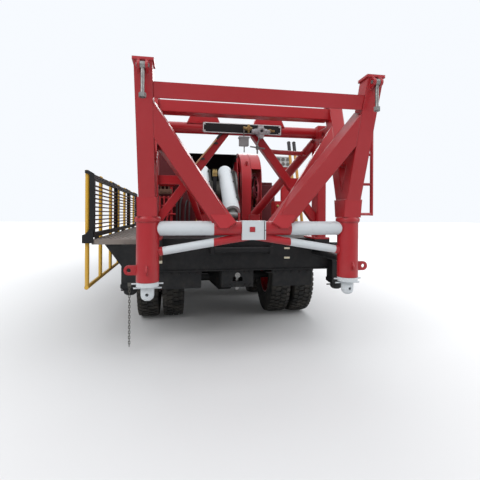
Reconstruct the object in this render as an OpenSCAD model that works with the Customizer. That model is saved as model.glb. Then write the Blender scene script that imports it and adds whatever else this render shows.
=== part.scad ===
// Truck-mounted workover rig, mast not fitted. Millimetres, +Y to the cab, +Z up, ground at z = 0.
// Inside the modules y = 0 is the plane of the two screw-jack legs and x = 0 the truck's middle.

/* [Wheels and axles] */
// Outer diameter of every tyre
tyre_d = 1125; // [1000:5:1250]
// Width of one tyre
tyre_w = 300; // [260:5:330]
// Diameter of the rim where the tyre sits
rim_d = 540; // [500:5:600]
// Distance between the middles of the two tyres of a twin wheel
twin_pitch = 344; // [335:1:360]
// Width over the outer rear tyres
rear_width = 2510; // [2450:5:2600]
// Distance between the middles of the two front tyres
front_track = 2060; // [2000:5:2120]
// Place of the rear axle, from the leg plane
rear_axle_y = 2150; // [2100:10:2250]
// Distance between the two rear axles
tandem_pitch = 1350; // [1300:10:1450]
// Place of the front axle, from the leg plane
front_axle_y = 8300; // [8200:10:8500]
// Diameter of each axle's stub
stub_d = 100; // [80:2:120]
// Distance between the two king pins
kingpin_track = 1720; // [1690:5:1750]

/* [Chassis] */
// Height of the chassis rails' lower edge
rail_z = 800; // [780:5:840]
// Height of each chassis rail
rail_h = 300; // [250:5:300]
// Width over the chassis rails
rail_width = 860; // [820:5:900]
// Width of a rail's flange
rail_flange = 80; // [60:5:100]
// Thickness of a rail
rail_t = 10; // [6:1:14]
// Rear end of the chassis, from the leg plane
chassis_rear_y = 850; // [820:5:900]
// Front end of the chassis rails
chassis_front_y = 9560; // [9540:5:9580]
// Height of the deck's walking face
deck_z = 1217; // [1200:1:1240]
// Width of the deck
deck_width = 2320; // [2200:10:2400]
// Thickness of the deck's edge sills
deck_sill = 58; // [50:1:70]
// Front end of the deck
deck_front_y = 7600; // [7500:10:7650]
// Lower edge of the rear beam
rear_beam_z = 850; // [820:5:900]

/* [Mast base] */
// Distance between the middles of the two legs
leg_track = 1930; // [1900:5:1960]
// Diameter of the round lower leg
leg_d = 203; // [180:1:220]
// Lower end of the round leg
leg_bottom_z = 890; // [860:5:920]
// Top of the round leg, under its collar
leg_top_z = 1430; // [1425:1:1440]
// Thickness of the square branches
branch_w = 140; // [120:2:150]
// How far the rear branch leans back at its cap
rear_lean = 430; // [400:5:480]
// Height of the rear branch's cap
rear_cap_z = 2675; // [2645:5:2705]
// How far the forward branch leans forward at its top
front_lean = 356; // [330:2:370]
// Height of the forward branch's top
front_cap_z = 2660; // [2640:5:2680]
// Diameter of the cross tube between the legs
cross_d = 133; // [110:1:140]
// Height of the cross tube's middle
cross_z = 1371; // [1360:1:1375]
// Diameter of the lower diagonal tubes
lower_d = 76; // [60:1:90]
// Width of the diagonals seen from behind
diagonal_w = 160; // [120:2:170]
// Where the tubes' paint turns from red to white, from the middle
paint_x = 370; // [340:5:400]
// Width of the white centre block
block_w = 224; // [200:2:240]

/* [Jacks and outriggers] */
// Diameter of the screw jack's nose
jack_d = 120; // [100:2:140]
// Distance between the two outrigger legs
outrigger_track = 2440; // [2420:5:2460]
// Outside width of the outrigger housings
outrigger_w = 170; // [150:2:180]
// Lowest point of the raised outrigger feet
outrigger_foot_z = 600; // [560:5:620]

/* [Mast bracket] */
// Middle of the bracket's posts, from the leg plane
bracket_y = 750; // [740:1:760]
// Width of a bracket post, across the truck
bracket_post_w = 100; // [90:2:120]
// Depth of a bracket post, along the truck
bracket_post_l = 196; // [180:2:198]
// Height of the bracket's top tube
bracket_tube_z = 2475; // [2460:5:2490]
// Diameter of the bracket's top tube
bracket_tube_d = 125; // [110:1:140]

/* [Walkway] */
// Outer edge of the fixed platform, from the middle
platform_x = 1630; // [1600:5:1660]
// Rear end of the platform
platform_rear_y = 800; // [790:5:820]
// Front end of the platform
platform_front_y = 4885; // [4800:5:4950]
// Height of the folding panel
panel_h = 690; // [650:5:710]
// Thickness of the folding panel
panel_t = 50; // [40:2:60]
// Diameter of the handrail's tubes
handrail_d = 46; // [38:2:48]
// Length of the handrail, from its hinge
handrail_h = 1270; // [1220:5:1290]

/* [Drawworks and rams] */
// Middle of the drum, from the leg plane
drum_y = 3600; // [3550:5:3650]
// Height of the drum's middle
drum_z = 1950; // [1920:5:1980]
// Diameter of the drum's barrel
drum_d = 380; // [340:5:420]
// Diameter of the drum's flanges
drum_flange_d = 820; // [780:5:840]
// Height of the middle of the hood's curve
hood_z = 2110; // [2090:5:2120]
// Outside radius of the hood
hood_r = 560; // [540:5:570]
// Outside diameter of a raising ram
ram_d = 240; // [200:2:245]
// Length of a ram, from its foot pin
ram_l = 1230; // [1150:10:1260]
// How steeply the rams rest, over the level
ram_angle = 37.5; // [36:0.5:40]

/* [Cab] */
// Width of the cab
cab_w = 2480; // [2400:10:2500]
// Rear wall of the cab
cab_rear_y = 7700; // [7660:10:7750]
// Front of the cab
cab_front_y = 9620; // [9580:10:9640]
// Lower edge of the cab's body
cab_z = 1180; // [1175:5:1200]
// Height of the roof
cab_roof_z = 2950; // [2900:10:3000]
// Thickness of the cab's walls and doors
cab_t = 60; // [50:2:70]

/* [Hidden] */
$fn = 64;

red = [0.67, 0.16, 0.19];
white = [0.8, 0.83, 0.85];
black = [0.13, 0.13, 0.14];
yellow = [0.8, 0.65, 0.2];
grey = [0.55, 0.56, 0.57];
steel = [0.6, 0.6, 0.6];

// Gap left between pieces of different bodies, and between curved faces
gap = 0.3;
// Gap around pieces that travel past each other
run = 6;

axle_z = tyre_d / 2;
leg_x = leg_track / 2;
junction_z = leg_top_z + 47;
lean_z = 1500;
beam_z = [2440, 2565];
front_beam_z = [2520, 2635];
front_beam_y = [front_lean - 66, front_lean + 74];
rear_tilt = atan(rear_lean / (rear_cap_z - lean_z));
front_tilt = atan(front_lean / (front_cap_z - lean_z));
brace_foot_x = 290;
brace_foot_z = cross_z + cross_d / 2;
branch_in_x = leg_x - branch_w / 2;
block_h = 178;
block_z = 1354;
lower_leg_z = 1143;
lower_mid_z = 1300;

hinge_x = -platform_x - 30;
hinge_z = deck_z - 55;
hinge_eye_d = 44;
door_y = [8480, 9420];
door_z = [cab_z + 60, cab_roof_z - 130];
door_hinge_x = cab_w / 2 + 14;
door_hinge_y = door_y[1] + run;
hinge_zs = [door_z[0] + 200, door_z[0] + 560];
screen_x = cab_w / 2 - 160;
panel_in_x = hinge_x + 55;
panel_z = deck_z + 23;
panel_y = [platform_rear_y, platform_front_y];
rail_hinge_z = panel_z + panel_h + handrail_d / 2 + run;
rail_x = panel_in_x - panel_t - run - handrail_d / 2;

ram_foot = [1880, 1480];
ram_x = [-300, 95];

jack_top_z = leg_top_z - 50;
bolt_y = -rear_lean - 92;
bolt_z = rear_cap_z - 45;
axle_tube_d = 150;
axle_bowl_r = 210;
knuckle_l = 100;
spring_z = axle_z + axle_tube_d / 2 + gap;
spring_eye_z = axle_z + 100;
engine_y = [5700, 6850];
engine_z = deck_z + 120;
radiator_y = [7050, 7290];
spring_h = 100;
bracket_in_x = leg_x - bracket_post_w / 2;
mid_axle_y = rear_axle_y + tandem_pitch;
rail_posts = 6;
rail_y = [panel_y[0] + 40, panel_y[1] - 40];
rail_pitch = (rail_y[1] - rail_y[0]) / rail_posts;
hinge_ys = [for (i = [0, 2, 3, 5]) rail_y[0] + rail_pitch * (i + 0.5) - 30];
panel_post_w = 60;
// Posts of the panel, by their rear faces
panel_posts = [panel_y[0] + run, panel_y[0] + 1470, panel_y[0] + 2800, panel_y[1] - panel_post_w];
// Plates that carry the handrail, beside its own posts
rail_ears = [panel_posts[0], panel_posts[1], panel_posts[2], rail_y[1] + handrail_d / 2 + 1];
rail_ear_t = 10;
x_low = rail_x - handrail_d / 2 - 20;
x_high = 1450;
y_low = bolt_y - 32;
y_high = cab_front_y + 155;

module place() translate([-(x_low + x_high) / 2, -(y_low + y_high) / 2, 0]) children();
module both_sides() {
    children();
    mirror([1, 0, 0]) children();
}
module rod(a, b, d) {
    v = b - a;
    translate(a) rotate([0, acos(v[2] / norm(v)), atan2(v[1], v[0])]) cylinder(h = norm(v), d = d);
}
module box(low, high) translate(low) cube(high - low);
// Extrudes an outline drawn in y and z across the truck, from x = x0 to x1
module across(x0, x1) translate([x0, 0, 0]) rotate([90, 0, 90]) linear_extrude(x1 - x0) children();
module bar(a, b, w) {
    d = b - a;
    translate(a) rotate(atan2(d[1], d[0])) translate([0, -w / 2]) square([norm(d), w]);
}
// A leaning post's outline with level ends
module lean(a, b, w) {
    h = w / 2 / cos(atan((b[0] - a[0]) / (b[1] - a[1])));
    polygon([[a[0] - h, a[1]], [a[0] + h, a[1]], [b[0] + h, b[1]], [b[0] - h, b[1]]]);
}

module chassis_frame() color(black) place() {
    rail_in = rail_width / 2 - rail_flange;
    length = chassis_front_y - chassis_rear_y - 12;
    both_sides() translate([0, chassis_rear_y + 12, 0]) rotate([90, 0, 0]) mirror([0, 0, 1])
        linear_extrude(length) difference() {
            translate([rail_in, rail_z]) square([rail_flange, rail_h]);
            translate([rail_in - 1, rail_z + rail_t]) square([rail_flange + 1 - rail_t, rail_h - 2 * rail_t]);
        }
    for (y = [1300, 4400, 5900, 6600, 9300])
        box([-rail_width / 2 + rail_t, y, rail_z + 60], [rail_width / 2 - rail_t, y + 90, rail_z + rail_h - 60]);
    // Trunnion blocks of the tandem springs, eyes of the front springs and mounts of the cab
    both_sides() {
        box([rail_in, rear_axle_y + tandem_pitch / 2 - 110, spring_z + spring_h],
            [rail_width / 2, rear_axle_y + tandem_pitch / 2 + 110, rail_z]);
        for (s = [-1, 1])
            box([rail_in, front_axle_y + s * 660 - 40, spring_eye_z], [rail_width / 2, front_axle_y + s * 660 + 40, rail_z]);
        for (y = [cab_rear_y + 40, chassis_front_y - 160])
            box([rail_in, y, rail_z + rail_h], [rail_width / 2, y + 120, cab_z]);
    }
}

module deck() color(black) place() {
    plate = 8;
    low = deck_z - deck_sill;
    y0 = chassis_rear_y + 160;
    box([-deck_width / 2, y0, deck_z - plate], [deck_width / 2, deck_front_y, deck_z]);
    both_sides() {
        box([deck_width / 2 - 50, y0, low], [deck_width / 2, deck_front_y, deck_z - plate]);
        box([rail_width / 2 - rail_flange, y0, rail_z + rail_h], [rail_width / 2, deck_front_y, deck_z - plate]);
    }
    for (y = [y0 + 10, 1500, 2800, 4150, 5200, 6300, deck_front_y - 100])
        box([-deck_width / 2 + 50, y, low], [deck_width / 2 - 50, y + 70, deck_z - plate]);
}

module rear_beam() color(black) place() {
    w = outrigger_track / 2 - outrigger_w / 2;
    top = deck_z;
    back = chassis_rear_y;
    box([-w, back, rear_beam_z], [w, back + 12, top]);
    box([-w, back - 20, rear_beam_z - 12], [w, back + 12, rear_beam_z]);
    box([-w, back + 12, top - 12], [w, back + 160, top]);
    // Plates below the beam and the tow box with its jaw
    both_sides() box([430, back, rear_beam_z - 210], [920, back + 12, rear_beam_z - 12]);
    difference() {
        box([-190, back, rear_beam_z - 210], [190, back + 120, rear_beam_z - 12]);
        translate([0, back + 60, rear_beam_z - 250]) cylinder(h = 300, d = 50);
        box([-60, back - 1, rear_beam_z - 140], [60, back + 90, rear_beam_z - 90]);
    }
    // Struts to the legs, and the pipe along the beam's rear face
    both_sides() box([bracket_in_x - 40, back - 218, top - 120], [bracket_in_x + bracket_post_w + 40, back, top]);
    both_sides() difference() {
        rod([leg_x, 0, 1050], [leg_x, back, 1050], 76);
        translate([leg_x, 0, 900]) cylinder(h = 300, d = leg_d + 2 * gap);
    }
    rod([-330, back - 60, 1085], [410, back - 60, 1085], 70);
    for (x = [-330, 370])
        box([x, back - 100, 1040], [x + 40, back, 1130]);
}

module outrigger_housings() color(black) place() {
    w = outrigger_w;
    top = deck_z - 55;
    for (s = [-1, 1])
        translate([s * outrigger_track / 2, platform_rear_y + 10, 0]) mirror([s < 0 ? 1 : 0, 0, 0]) {
            difference() {
                box([-w / 2, -w / 2, 680], [w / 2, w / 2, top]);
                box([-w / 2 + 12, -w / 2 + 12, 679], [w / 2 - 12, w / 2 - 12, top - 15]);
            }
            // Collar at the mouth, and the slanted gusset under the platform
            difference() {
                box([-w / 2 - 8, -w / 2 - 8, 690], [w / 2 + 8, w / 2 + 8, 730]);
                box([-w / 2, -w / 2, 689], [w / 2, w / 2, 731]);
            }
            translate([0, 12, 0]) rotate([90, 0, 0]) linear_extrude(12)
                polygon([[w / 2, top], [w / 2 + 190, top], [w / 2, top - 260]]);
        }
}

module platform() color([0.3, 0.29, 0.28]) place() {
    low = deck_z - 55;
    y0 = platform_rear_y;
    box([-platform_x, y0, low], [-deck_width / 2, platform_front_y, deck_z]);
    // Brackets that carry the platform from the deck's edge
    for (y = [1200, 2825, 4400])
        translate([0, y + 12, 0]) rotate([90, 0, 0]) linear_extrude(12)
            polygon([[-deck_width / 2, low], [-platform_x + 130, low], [-deck_width / 2, low - 180]]);
}
module walkway_hinges() color(black) place() {
    low = deck_z - 55;
    // End bracket that holds the folded panel and rail
    translate([0, platform_rear_y - gap, 0]) rotate([90, 0, 0]) linear_extrude(12)
        polygon([[x_low, low + 15], [-platform_x + 20, low + 15], [-platform_x + 20, deck_z + 100],
            [-platform_x - 30, deck_z + 100], [x_low + 35, deck_z + 62], [x_low, deck_z + 50]]);
    // Hinge lugs and pins of the folding panel
    for (y = hinge_ys)
        translate([0, y, 0]) {
            rod([hinge_x, 0, hinge_z], [hinge_x, 60, hinge_z], 24);
            box([hinge_x - 14, 0, hinge_z - 18], [-platform_x - gap, 12, hinge_z + 18]);
        }
}

module leg() {
    up = leg_bottom_z;
    difference() {
        union() {
            translate([leg_x, 0, up]) cylinder(h = leg_top_z - up, d = leg_d);
            // Lug plate outboard, in the leg's plane across
            translate([leg_x, 8, 0]) rotate([90, 0, 0]) linear_extrude(16)
                difference() {
                    union() {
                        translate([0, 950]) square([leg_d / 2 + 62, 90]);
                        translate([leg_d / 2 + 62, 995]) circle(d = 90);
                    }
                    translate([leg_d / 2 + 62, 995]) circle(d = 36);
                }
            // Gusset lug facing the rear
            across(leg_x - 8, leg_x + 8)
                polygon([[0, 950], [-leg_d / 2 - 38, 975], [-leg_d / 2 - 38, 1010], [-leg_d / 2 - 10, 1045], [0, 1045]]);
        }
        translate([leg_x, 0, up - 1]) cylinder(h = jack_top_z + 20 - up, d = jack_d + 2 * gap);
    }
    translate([leg_x, 0, leg_top_z]) rotate_extrude()
        polygon([[0, 0], [leg_d / 2 + 4, 0], [leg_d / 2 + 14, 12], [leg_d / 2 + 14, 35], [leg_d / 2 + 4, 47], [0, 47]]);
    // Junction box, branches and caps
    across(leg_x - 86, leg_x + 86)
        polygon([[-100, junction_z], [100, junction_z], [124, 1650], [-128, 1650]]);
    across(leg_x - branch_w / 2, leg_x + branch_w / 2) {
        lean([0, lean_z], [-rear_lean, rear_cap_z], branch_w);
        lean([0, lean_z], [front_lean, front_cap_z], branch_w);
        // Tie between the two branches
        translate([-rear_lean / 2, 1990]) square([(rear_lean + front_lean) / 2, 70]);
    }
    box([leg_x - 82, -rear_lean - 82, rear_cap_z], [leg_x + 82, -rear_lean + 82, rear_cap_z + 25]);
    box([leg_x - 80, front_lean - 80, front_cap_z], [leg_x + 80, front_lean + 80, front_cap_z + 20]);
    // Ears that carry the swing bolt
    for (x = [leg_x - 42, leg_x + 20])
        across(x, x + 22)
            difference() {
                union() {
                    polygon([[bolt_y, bolt_z - 32], [-rear_lean, bolt_z - 60], [-rear_lean, rear_cap_z],
                        [bolt_y, rear_cap_z]]);
                    translate([bolt_y, bolt_z]) circle(d = 64);
                }
                translate([bolt_y, bolt_z]) circle(d = 30 + 2 * gap);
            }
    // Hinge ears on top of the forward branch
    for (x = [leg_x - 60, leg_x + 30])
        across(x, x + 30)
            difference() {
                hull() {
                    translate([front_lean - 50, front_cap_z + 20]) square([100, 1]);
                    translate([front_lean, front_cap_z + 75]) circle(d = 70);
                }
                translate([front_lean, front_cap_z + 75]) circle(d = 36);
            }
}
module leg_left() color(red) place() mirror([1, 0, 0]) leg();
module leg_right() color(red) place() {
    leg();
    // Ladder beside the leg, its rungs from the forward branch
    rail = leg_x + 290;
    rod([rail, 60, 1495], [rail, 60, 2440], 34);
    for (z = [1510 : 305 : 2440])
        rod([leg_x, front_lean * (z - lean_z) / (front_cap_z - lean_z), z], [rail, 60, z], 28);
}

// One tilted panel of the mast base: top beam and the two diagonals
module panel_braces(tilt, top_z) {
    foot = (brace_foot_z - lean_z) / cos(tilt);
    top = (top_z - lean_z) / cos(tilt);
    translate([0, 0, lean_z]) rotate([90 + tilt, 0, 0])
        linear_extrude(branch_w, center = true)
            intersection() {
                translate([-branch_in_x, foot - 200]) square([2 * branch_in_x, top + 200 - foot]);
                for (s = [-1, 1])
                    bar([s * (brace_foot_x - 55), foot - 75], [s * (branch_in_x + 60), (2370 - lean_z) / cos(tilt)],
                        diagonal_w);
            }
}
module base_bracing() color(red) place() {
    difference() {
        union() {
            difference() {
                union() {
                    panel_braces(rear_tilt, beam_z[0]);
                    panel_braces(-front_tilt, front_beam_z[0]);
                }
                // The diagonals end on the cross tube
                box([-leg_x, -300, 1000], [leg_x, 300, cross_z]);
                both_sides() rod([paint_x, 0, cross_z], [leg_x, 0, cross_z], cross_d + 2 * gap);
            }
            across(-branch_in_x, branch_in_x) {
                zc = (beam_z[0] + beam_z[1]) / 2;
                yc = -rear_lean * (zc - lean_z) / (rear_cap_z - lean_z);
                translate([yc, zc]) rotate(rear_tilt)
                    square([branch_w - 10, beam_z[1] - beam_z[0]], center = true);
                translate([front_beam_y[0], front_beam_z[0]])
                    square([front_beam_y[1] - front_beam_y[0], front_beam_z[1] - front_beam_z[0]]);
            }
            both_sides() {
                rod([0, 0, cross_z], [paint_x, 0, cross_z], cross_d);
                intersection() {
                    rod([0, 0, lower_mid_z], [leg_x, 0, lower_leg_z], lower_d);
                    box([0, -100, 1000], [paint_x, 100, 1400]);
                }
            }
        }
        box([-block_w / 2, -120, block_z - block_h / 2], [block_w / 2, 120, block_z + block_h / 2]);
        // Clear of the legs
        both_sides() box([branch_in_x, -700, 1000], [leg_x + 200, 700, 3000]);
    }
}

module white_tubes() color(white) place() {
    box([-block_w / 2, -80, block_z - block_h / 2], [block_w / 2, 80, block_z + block_h / 2]);
    both_sides() difference() {
        union() {
            rod([paint_x, 0, cross_z], [leg_x, 0, cross_z], cross_d);
            difference() {
                rod([0, 0, lower_mid_z], [leg_x, 0, lower_leg_z], lower_d);
                box([-10, -100, 1000], [paint_x, 100, 1400]);
            }
        }
        translate([leg_x, 0, leg_bottom_z]) cylinder(h = leg_top_z - leg_bottom_z, d = leg_d + 2 * gap);
        translate([leg_x, 0, leg_top_z - gap]) cylinder(h = junction_z - leg_top_z, d = leg_d + 30);
    }
}

module swing_bolts() color(steel) place() {
    y = bolt_y;
    z = bolt_z;
    for (s = [-1, 1]) {
        rod([s * leg_x - 50, y, z], [s * leg_x + 50, y, z], 30);
        rod([s * leg_x - 19, y, z], [s * leg_x + 19, y, z], 56);
        rod([s * leg_x, y, z - 250], [s * leg_x, y, z], 30);
        translate([s * leg_x, y, z - 245]) cylinder(h = 34, d = 58, $fn = 6);
    }
}

module mast_bracket() color(red) place() {
    y0 = bracket_y - bracket_post_l / 2;
    y1 = bracket_y + bracket_post_l / 2;
    top = bracket_tube_z + bracket_tube_d / 2 + 10;
    in = bracket_in_x;
    both_sides() {
        box([in, y0, deck_z], [in + bracket_post_w, y1, top]);
        box([in - 40, y0 - 20, deck_z], [in + bracket_post_w + 40, chassis_rear_y + 160, deck_z + 20]);
        // Ears that hold the mast base's forward branches
        for (x = [leg_x - 48, leg_x + 18])
            across(x, x + 30)
                difference() {
                    polygon([[front_lean * (2360 - lean_z) / (front_cap_z - lean_z) + branch_w / 2 / cos(front_tilt), 2360],
                        [y0, 2330], [y0, 2480],
                        [front_lean * (2480 - lean_z) / (front_cap_z - lean_z) + branch_w / 2 / cos(front_tilt), 2480]]);
                    translate([520, 2415]) circle(d = 50);
                }
    }
    rod([-in, bracket_y, bracket_tube_z], [in, bracket_y, bracket_tube_z], bracket_tube_d);
    // Saddles that carry the mast
    for (c = [-420, 330])
        translate([c, bracket_y + 60, 0]) rotate([90, 0, 0]) linear_extrude(120)
            polygon([[-190, bracket_tube_z + 40], [190, bracket_tube_z + 40], [130, bracket_tube_z + 175],
                [-130, bracket_tube_z + 175]]);
}

module bracket_braces() color(red) place() {
    in = leg_x - bracket_post_w / 2;
    top = bracket_tube_z - 30;
    // Inverted V and ties, flat in the bracket's plane
    translate([0, bracket_y + 45, 0]) rotate([90, 0, 0]) linear_extrude(90)
        intersection() {
            translate([-in, deck_z]) square([2 * in, top - deck_z]);
            difference() {
                union() {
                    for (s = [-1, 1]) {
                        bar([s * 120, 2500], [s * 960, 1380], 92);
                        bar([s * 600, 1880], [s * 1000, 1880], 100);
                    }
                }
                translate([0, bracket_tube_z]) square([2000, bracket_tube_d + 2 * gap], center = true);
            }
        }
    // Raking stays to the pedestal on the deck
    for (s = [-1, 1]) {
        difference() {
            rod([s * 930, bracket_y + 60, 2380], [s * 345, 1560, 1500], 110);
            box([s * leg_x - bracket_post_w / 2, 600, 1200],
                [s * leg_x + bracket_post_w / 2, bracket_y + bracket_post_l / 2, 2600]);
            box([-1000, 1400, 1200], [1000, 1700, 1500]);
        }
        box([s * 345 - 70, 1490, deck_z], [s * 345 + 70, 1600, 1500]);
    }
}

drum_plates = [-700, 396, 796];
plate_t = 24;
module drawworks_frame() color(red) place() {
    // Side plates that carry the drum's shaft
    for (x = drum_plates)
        across(x, x + plate_t)
            difference() {
                polygon([[drum_y - 520, deck_z + 80], [drum_y + 520, deck_z + 80], [drum_y + 160, hood_z + 470],
                    [drum_y - 160, hood_z + 470]]);
                translate([drum_y, drum_z]) circle(d = 120 + 2 * gap);
            }
    // Skid on the deck
    x0 = drum_plates[0];
    x1 = drum_plates[2] + plate_t;
    difference() {
        box([x0, 1760, deck_z], [x1, drum_y + 600, deck_z + 80]);
        box([x0 + 160, 2150, deck_z - 1], [x1 - 160, drum_y + 450, deck_z + 81]);
    }
    // Clevises of the rams' feet
    for (c = ram_x)
        for (s = [-1, 1])
            across(c + s * 80 - 12, c + s * 80 + 12)
                difference() {
                    polygon([[ram_foot[0] - 80, deck_z + 80], [ram_foot[0] + 120, deck_z + 80],
                        [ram_foot[0] + 45, ram_foot[1] + 45], [ram_foot[0] - 45, ram_foot[1] + 45]]);
                    translate(ram_foot) circle(d = 60 + 2 * gap);
                }
}

module drum() color(grey) place() {
    x0 = drum_plates[0] + plate_t + 14;
    x1 = drum_plates[1] - 14;
    rod([drum_plates[0] - 20, drum_y, drum_z], [drum_plates[2] + plate_t + 40, drum_y, drum_z], 120);
    rod([x0, drum_y, drum_z], [x1, drum_y, drum_z], drum_d);
    for (x = [x0, x1 - 35])
        rod([x, drum_y, drum_z], [x + 35, drum_y, drum_z], drum_flange_d);
    rod([450, drum_y, drum_z], [490, drum_y, drum_z], 760);
}

// Curved band about the hood's middle, from one angle to the other, 0 towards the cab and 90 up
module band(r, t, from, to) {
    step = (to - from) / 4;
    translate([drum_y, hood_z]) difference() {
        intersection() {
            circle(r = r);
            polygon(concat([[0, 0]], [for (i = [0 : 4]) 2 * r * [cos(from + i * step), sin(from + i * step)]]));
        }
        circle(r = r - t);
    }
}
module drum_hood() color(black) place() {
    x0 = drum_plates[0] + plate_t;
    x1 = drum_plates[1];
    across(x0, x1) band(hood_r, 8, -20, 106);
    for (x = [x0, x1 - 8])
        across(x, x + 8) band(hood_r, 130, -20, 106);
}

// Upright outline with a round top
module arch(r, z0) translate([drum_y, 0]) {
    translate([0, hood_z]) circle(r = r);
    translate([-r, z0]) square([2 * r, hood_z - z0]);
}
module drum_guard() color(red) place() {
    r = hood_r + 20;
    x0 = drum_plates[1] + plate_t;
    low = 1400;
    across(x0, x0 + 340) difference() {
        arch(r, low);
        arch(r - 10, low - 1);
    }
    across(x0, x0 + 8) difference() {
        arch(r, low);
        arch(r - 130, low - 1);
    }
    // Ring on the outer side plate
    across(drum_plates[2] - 12, drum_plates[2]) translate([drum_y, drum_z]) difference() {
        circle(r = 340);
        circle(r = 285);
    }
}

module console() color(grey) place() {
    // Gauge panel with two rows of gauges
    difference() {
        box([840, 2300, 2280], [1120, 2380, 2450]);
        box([852, 2299, 2292], [1108, 2308, 2438]);
    }
    for (x = [900, 980, 1060])
        for (z = [2328, 2402])
            translate([x, 2300, z]) rotate([-90, 0, 0]) cylinder(h = 10, d = 60);
}
module console_stand() color(red) place() {
    box([840, 2250, deck_z], [1120, 2500, 1720]);
    translate([0, 2370, 0]) rotate([90, 0, 0]) linear_extrude(60)
        polygon([[960, 1719], [1110, 1719], [1110, 2280 - gap], [850, 2280 - gap], [960, 2120]]);
}

module brake_levers() color(yellow) place() {
    foot = [1700, deck_z];
    top = [2160, 2660];
    for (x = [1030, 1115]) {
        rod([x, foot[0], foot[1] + 10], [x, top[0], top[1]], 44);
        box([x - 40, foot[0] - 50, deck_z], [x + 40, foot[0] + 50, deck_z + 20]);
    }
}

// The engine's outline from its end: a V of two banks over the crankcase
module engine_outline() {
    polygon([[-170, 0], [170, 0], [230, 260], [440, 500], [310, 640], [130, 470], [-130, 470], [-310, 640], [-440, 500],
        [-230, 260]]);
}
module deck_engine() color(yellow) place() {
    low = engine_z;
    y0 = engine_y[0];
    y1 = engine_y[1];
    translate([0, y1, low]) rotate([90, 0, 0]) linear_extrude(y1 - y0 - 60) engine_outline();
    // Flywheel housing towards the gearbox, fan drive towards the radiator
    translate([0, y0 + 60, low + 250]) rotate([90, 0, 0]) cylinder(h = 60, d = 620);
    translate([0, y1 + 60, low + 300]) rotate([90, 0, 0]) cylinder(h = 60, d1 = 420, d2 = 300);
    // Valve covers along both banks
    both_sides() for (i = [0 : 4])
        translate([375, y0 + 180 + i * 180, low + 570]) rotate([0, 43, 0])
            box([-80, 0, -20], [80, 150, 90]);
    // Intake pipe in the V, oil filters at its sides
    rod([0, y0 + 120, low + 530], [0, y1 - 60, low + 530], 150);
    both_sides() for (y = [y0 + 300, y0 + 480])
        rod([215, y, low + 120], [275, y, low + 20], 120);
    // Skids on the deck
    radiator();
    both_sides() {
        box([300, y0 - 50, deck_z], [400, radiator_y[1], deck_z + 80]);
        for (y = [y0 + 80, y1 - 200])
            box([160, y, deck_z + 80], [400, y + 120, low + 40]);
    }
}
module radiator_core(y0, y1) {
    box([-500, y0, deck_z + 190], [500, y1, deck_z + 1150]);
}
module radiator() {
    y0 = radiator_y[0];
    y1 = radiator_y[1];
    difference() {
        box([-560, y0, deck_z + 80], [560, y1, deck_z + 1250]);
        radiator_core(y1 - 50, y1 + 1);
        translate([0, y0 - 1, deck_z + 670]) rotate([-90, 0, 0]) cylinder(h = 61, d = 900);
    }
    // Upright slats before the core
    for (x = [-475 : 50 : 475])
        box([x - 6, y1 - 45, deck_z + 189], [x + 6, y1 - 15, deck_z + 1151]);
    // Fan in its shroud
    for (a = [0 : 45 : 315])
        translate([0, y0 + 30, deck_z + 670]) rotate([0, a, 0]) translate([60, 0, 0]) rotate([30, 0, 0])
            box([0, -4, -60], [360, 4, 60]);
    translate([0, y0 - 90, deck_z + 670]) rotate([-90, 0, 0]) cylinder(h = 151, d = 160);
}
module exhaust() color(steel) place() {
    z = deck_z + 1050;
    x = 310;
    both_sides() {
        rod([x, engine_y[0] + 60, z], [x, engine_y[1] - 20, z], 200);
        // Legs on the banks' ridges, and the upright pipe
        for (y = [engine_y[0] + 120, engine_y[1] - 70])
            box([x - 30, y - 30, engine_z + 640 + gap], [x + 30, y + 30, z]);
        rod([x, engine_y[1] - 90, z], [x, engine_y[1] - 90, z + 480], 110);
    }
}
module gearbox() color(grey) place() {
    z = deck_z + 370;
    // Bell housing, ribbed case and the transfer case behind it
    translate([0, 5700, z]) rotate([90, 0, 0]) rotate_extrude()
        polygon([[0, 0], [310, 0], [310, 30], [290, 40], [220, 260], [220, 700], [150, 730], [150, 760], [0, 760]]);
    for (y = [5060 : 120 : 5420])
        translate([0, y, z]) rotate([-90, 0, 0]) cylinder(h = 24, d = 480);
    both_sides() box([140, 5100, deck_z], [240, 5250, z]);
    box([-250, 4350, deck_z], [250, 4760, deck_z + 620]);
    for (x = [-190, 0, 190])
        box([x - 12, 4330, deck_z + 60], [x + 12, 4780, deck_z + 640]);
    rod([0, 4700, z], [0, 5000, z], 110);
    rod([0, 4880, z], [0, 4940, z], 180);
}
module hydraulic_tank() color(red) place() {
    low = deck_z + 60;
    difference() {
        box([650, 4450, low], [1140, 5500, low + 640]);
        for (y = [4640, 4990, 5340])
            box([1130, y - 120, low + 80], [1141, y + 120, low + 560]);
    }
    for (y = [4520, 5380])
        box([680, y, deck_z], [1110, y + 60, low]);
    for (y = [4700, 5250])
        translate([900, y, low + 640]) {
            cylinder(h = 40, d = 120);
            cylinder(h = 70, d = 70);
        }
    translate([900, 4450, low + 320]) rotate([90, 0, 0]) cylinder(h = 14, d = 360);
}
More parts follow.
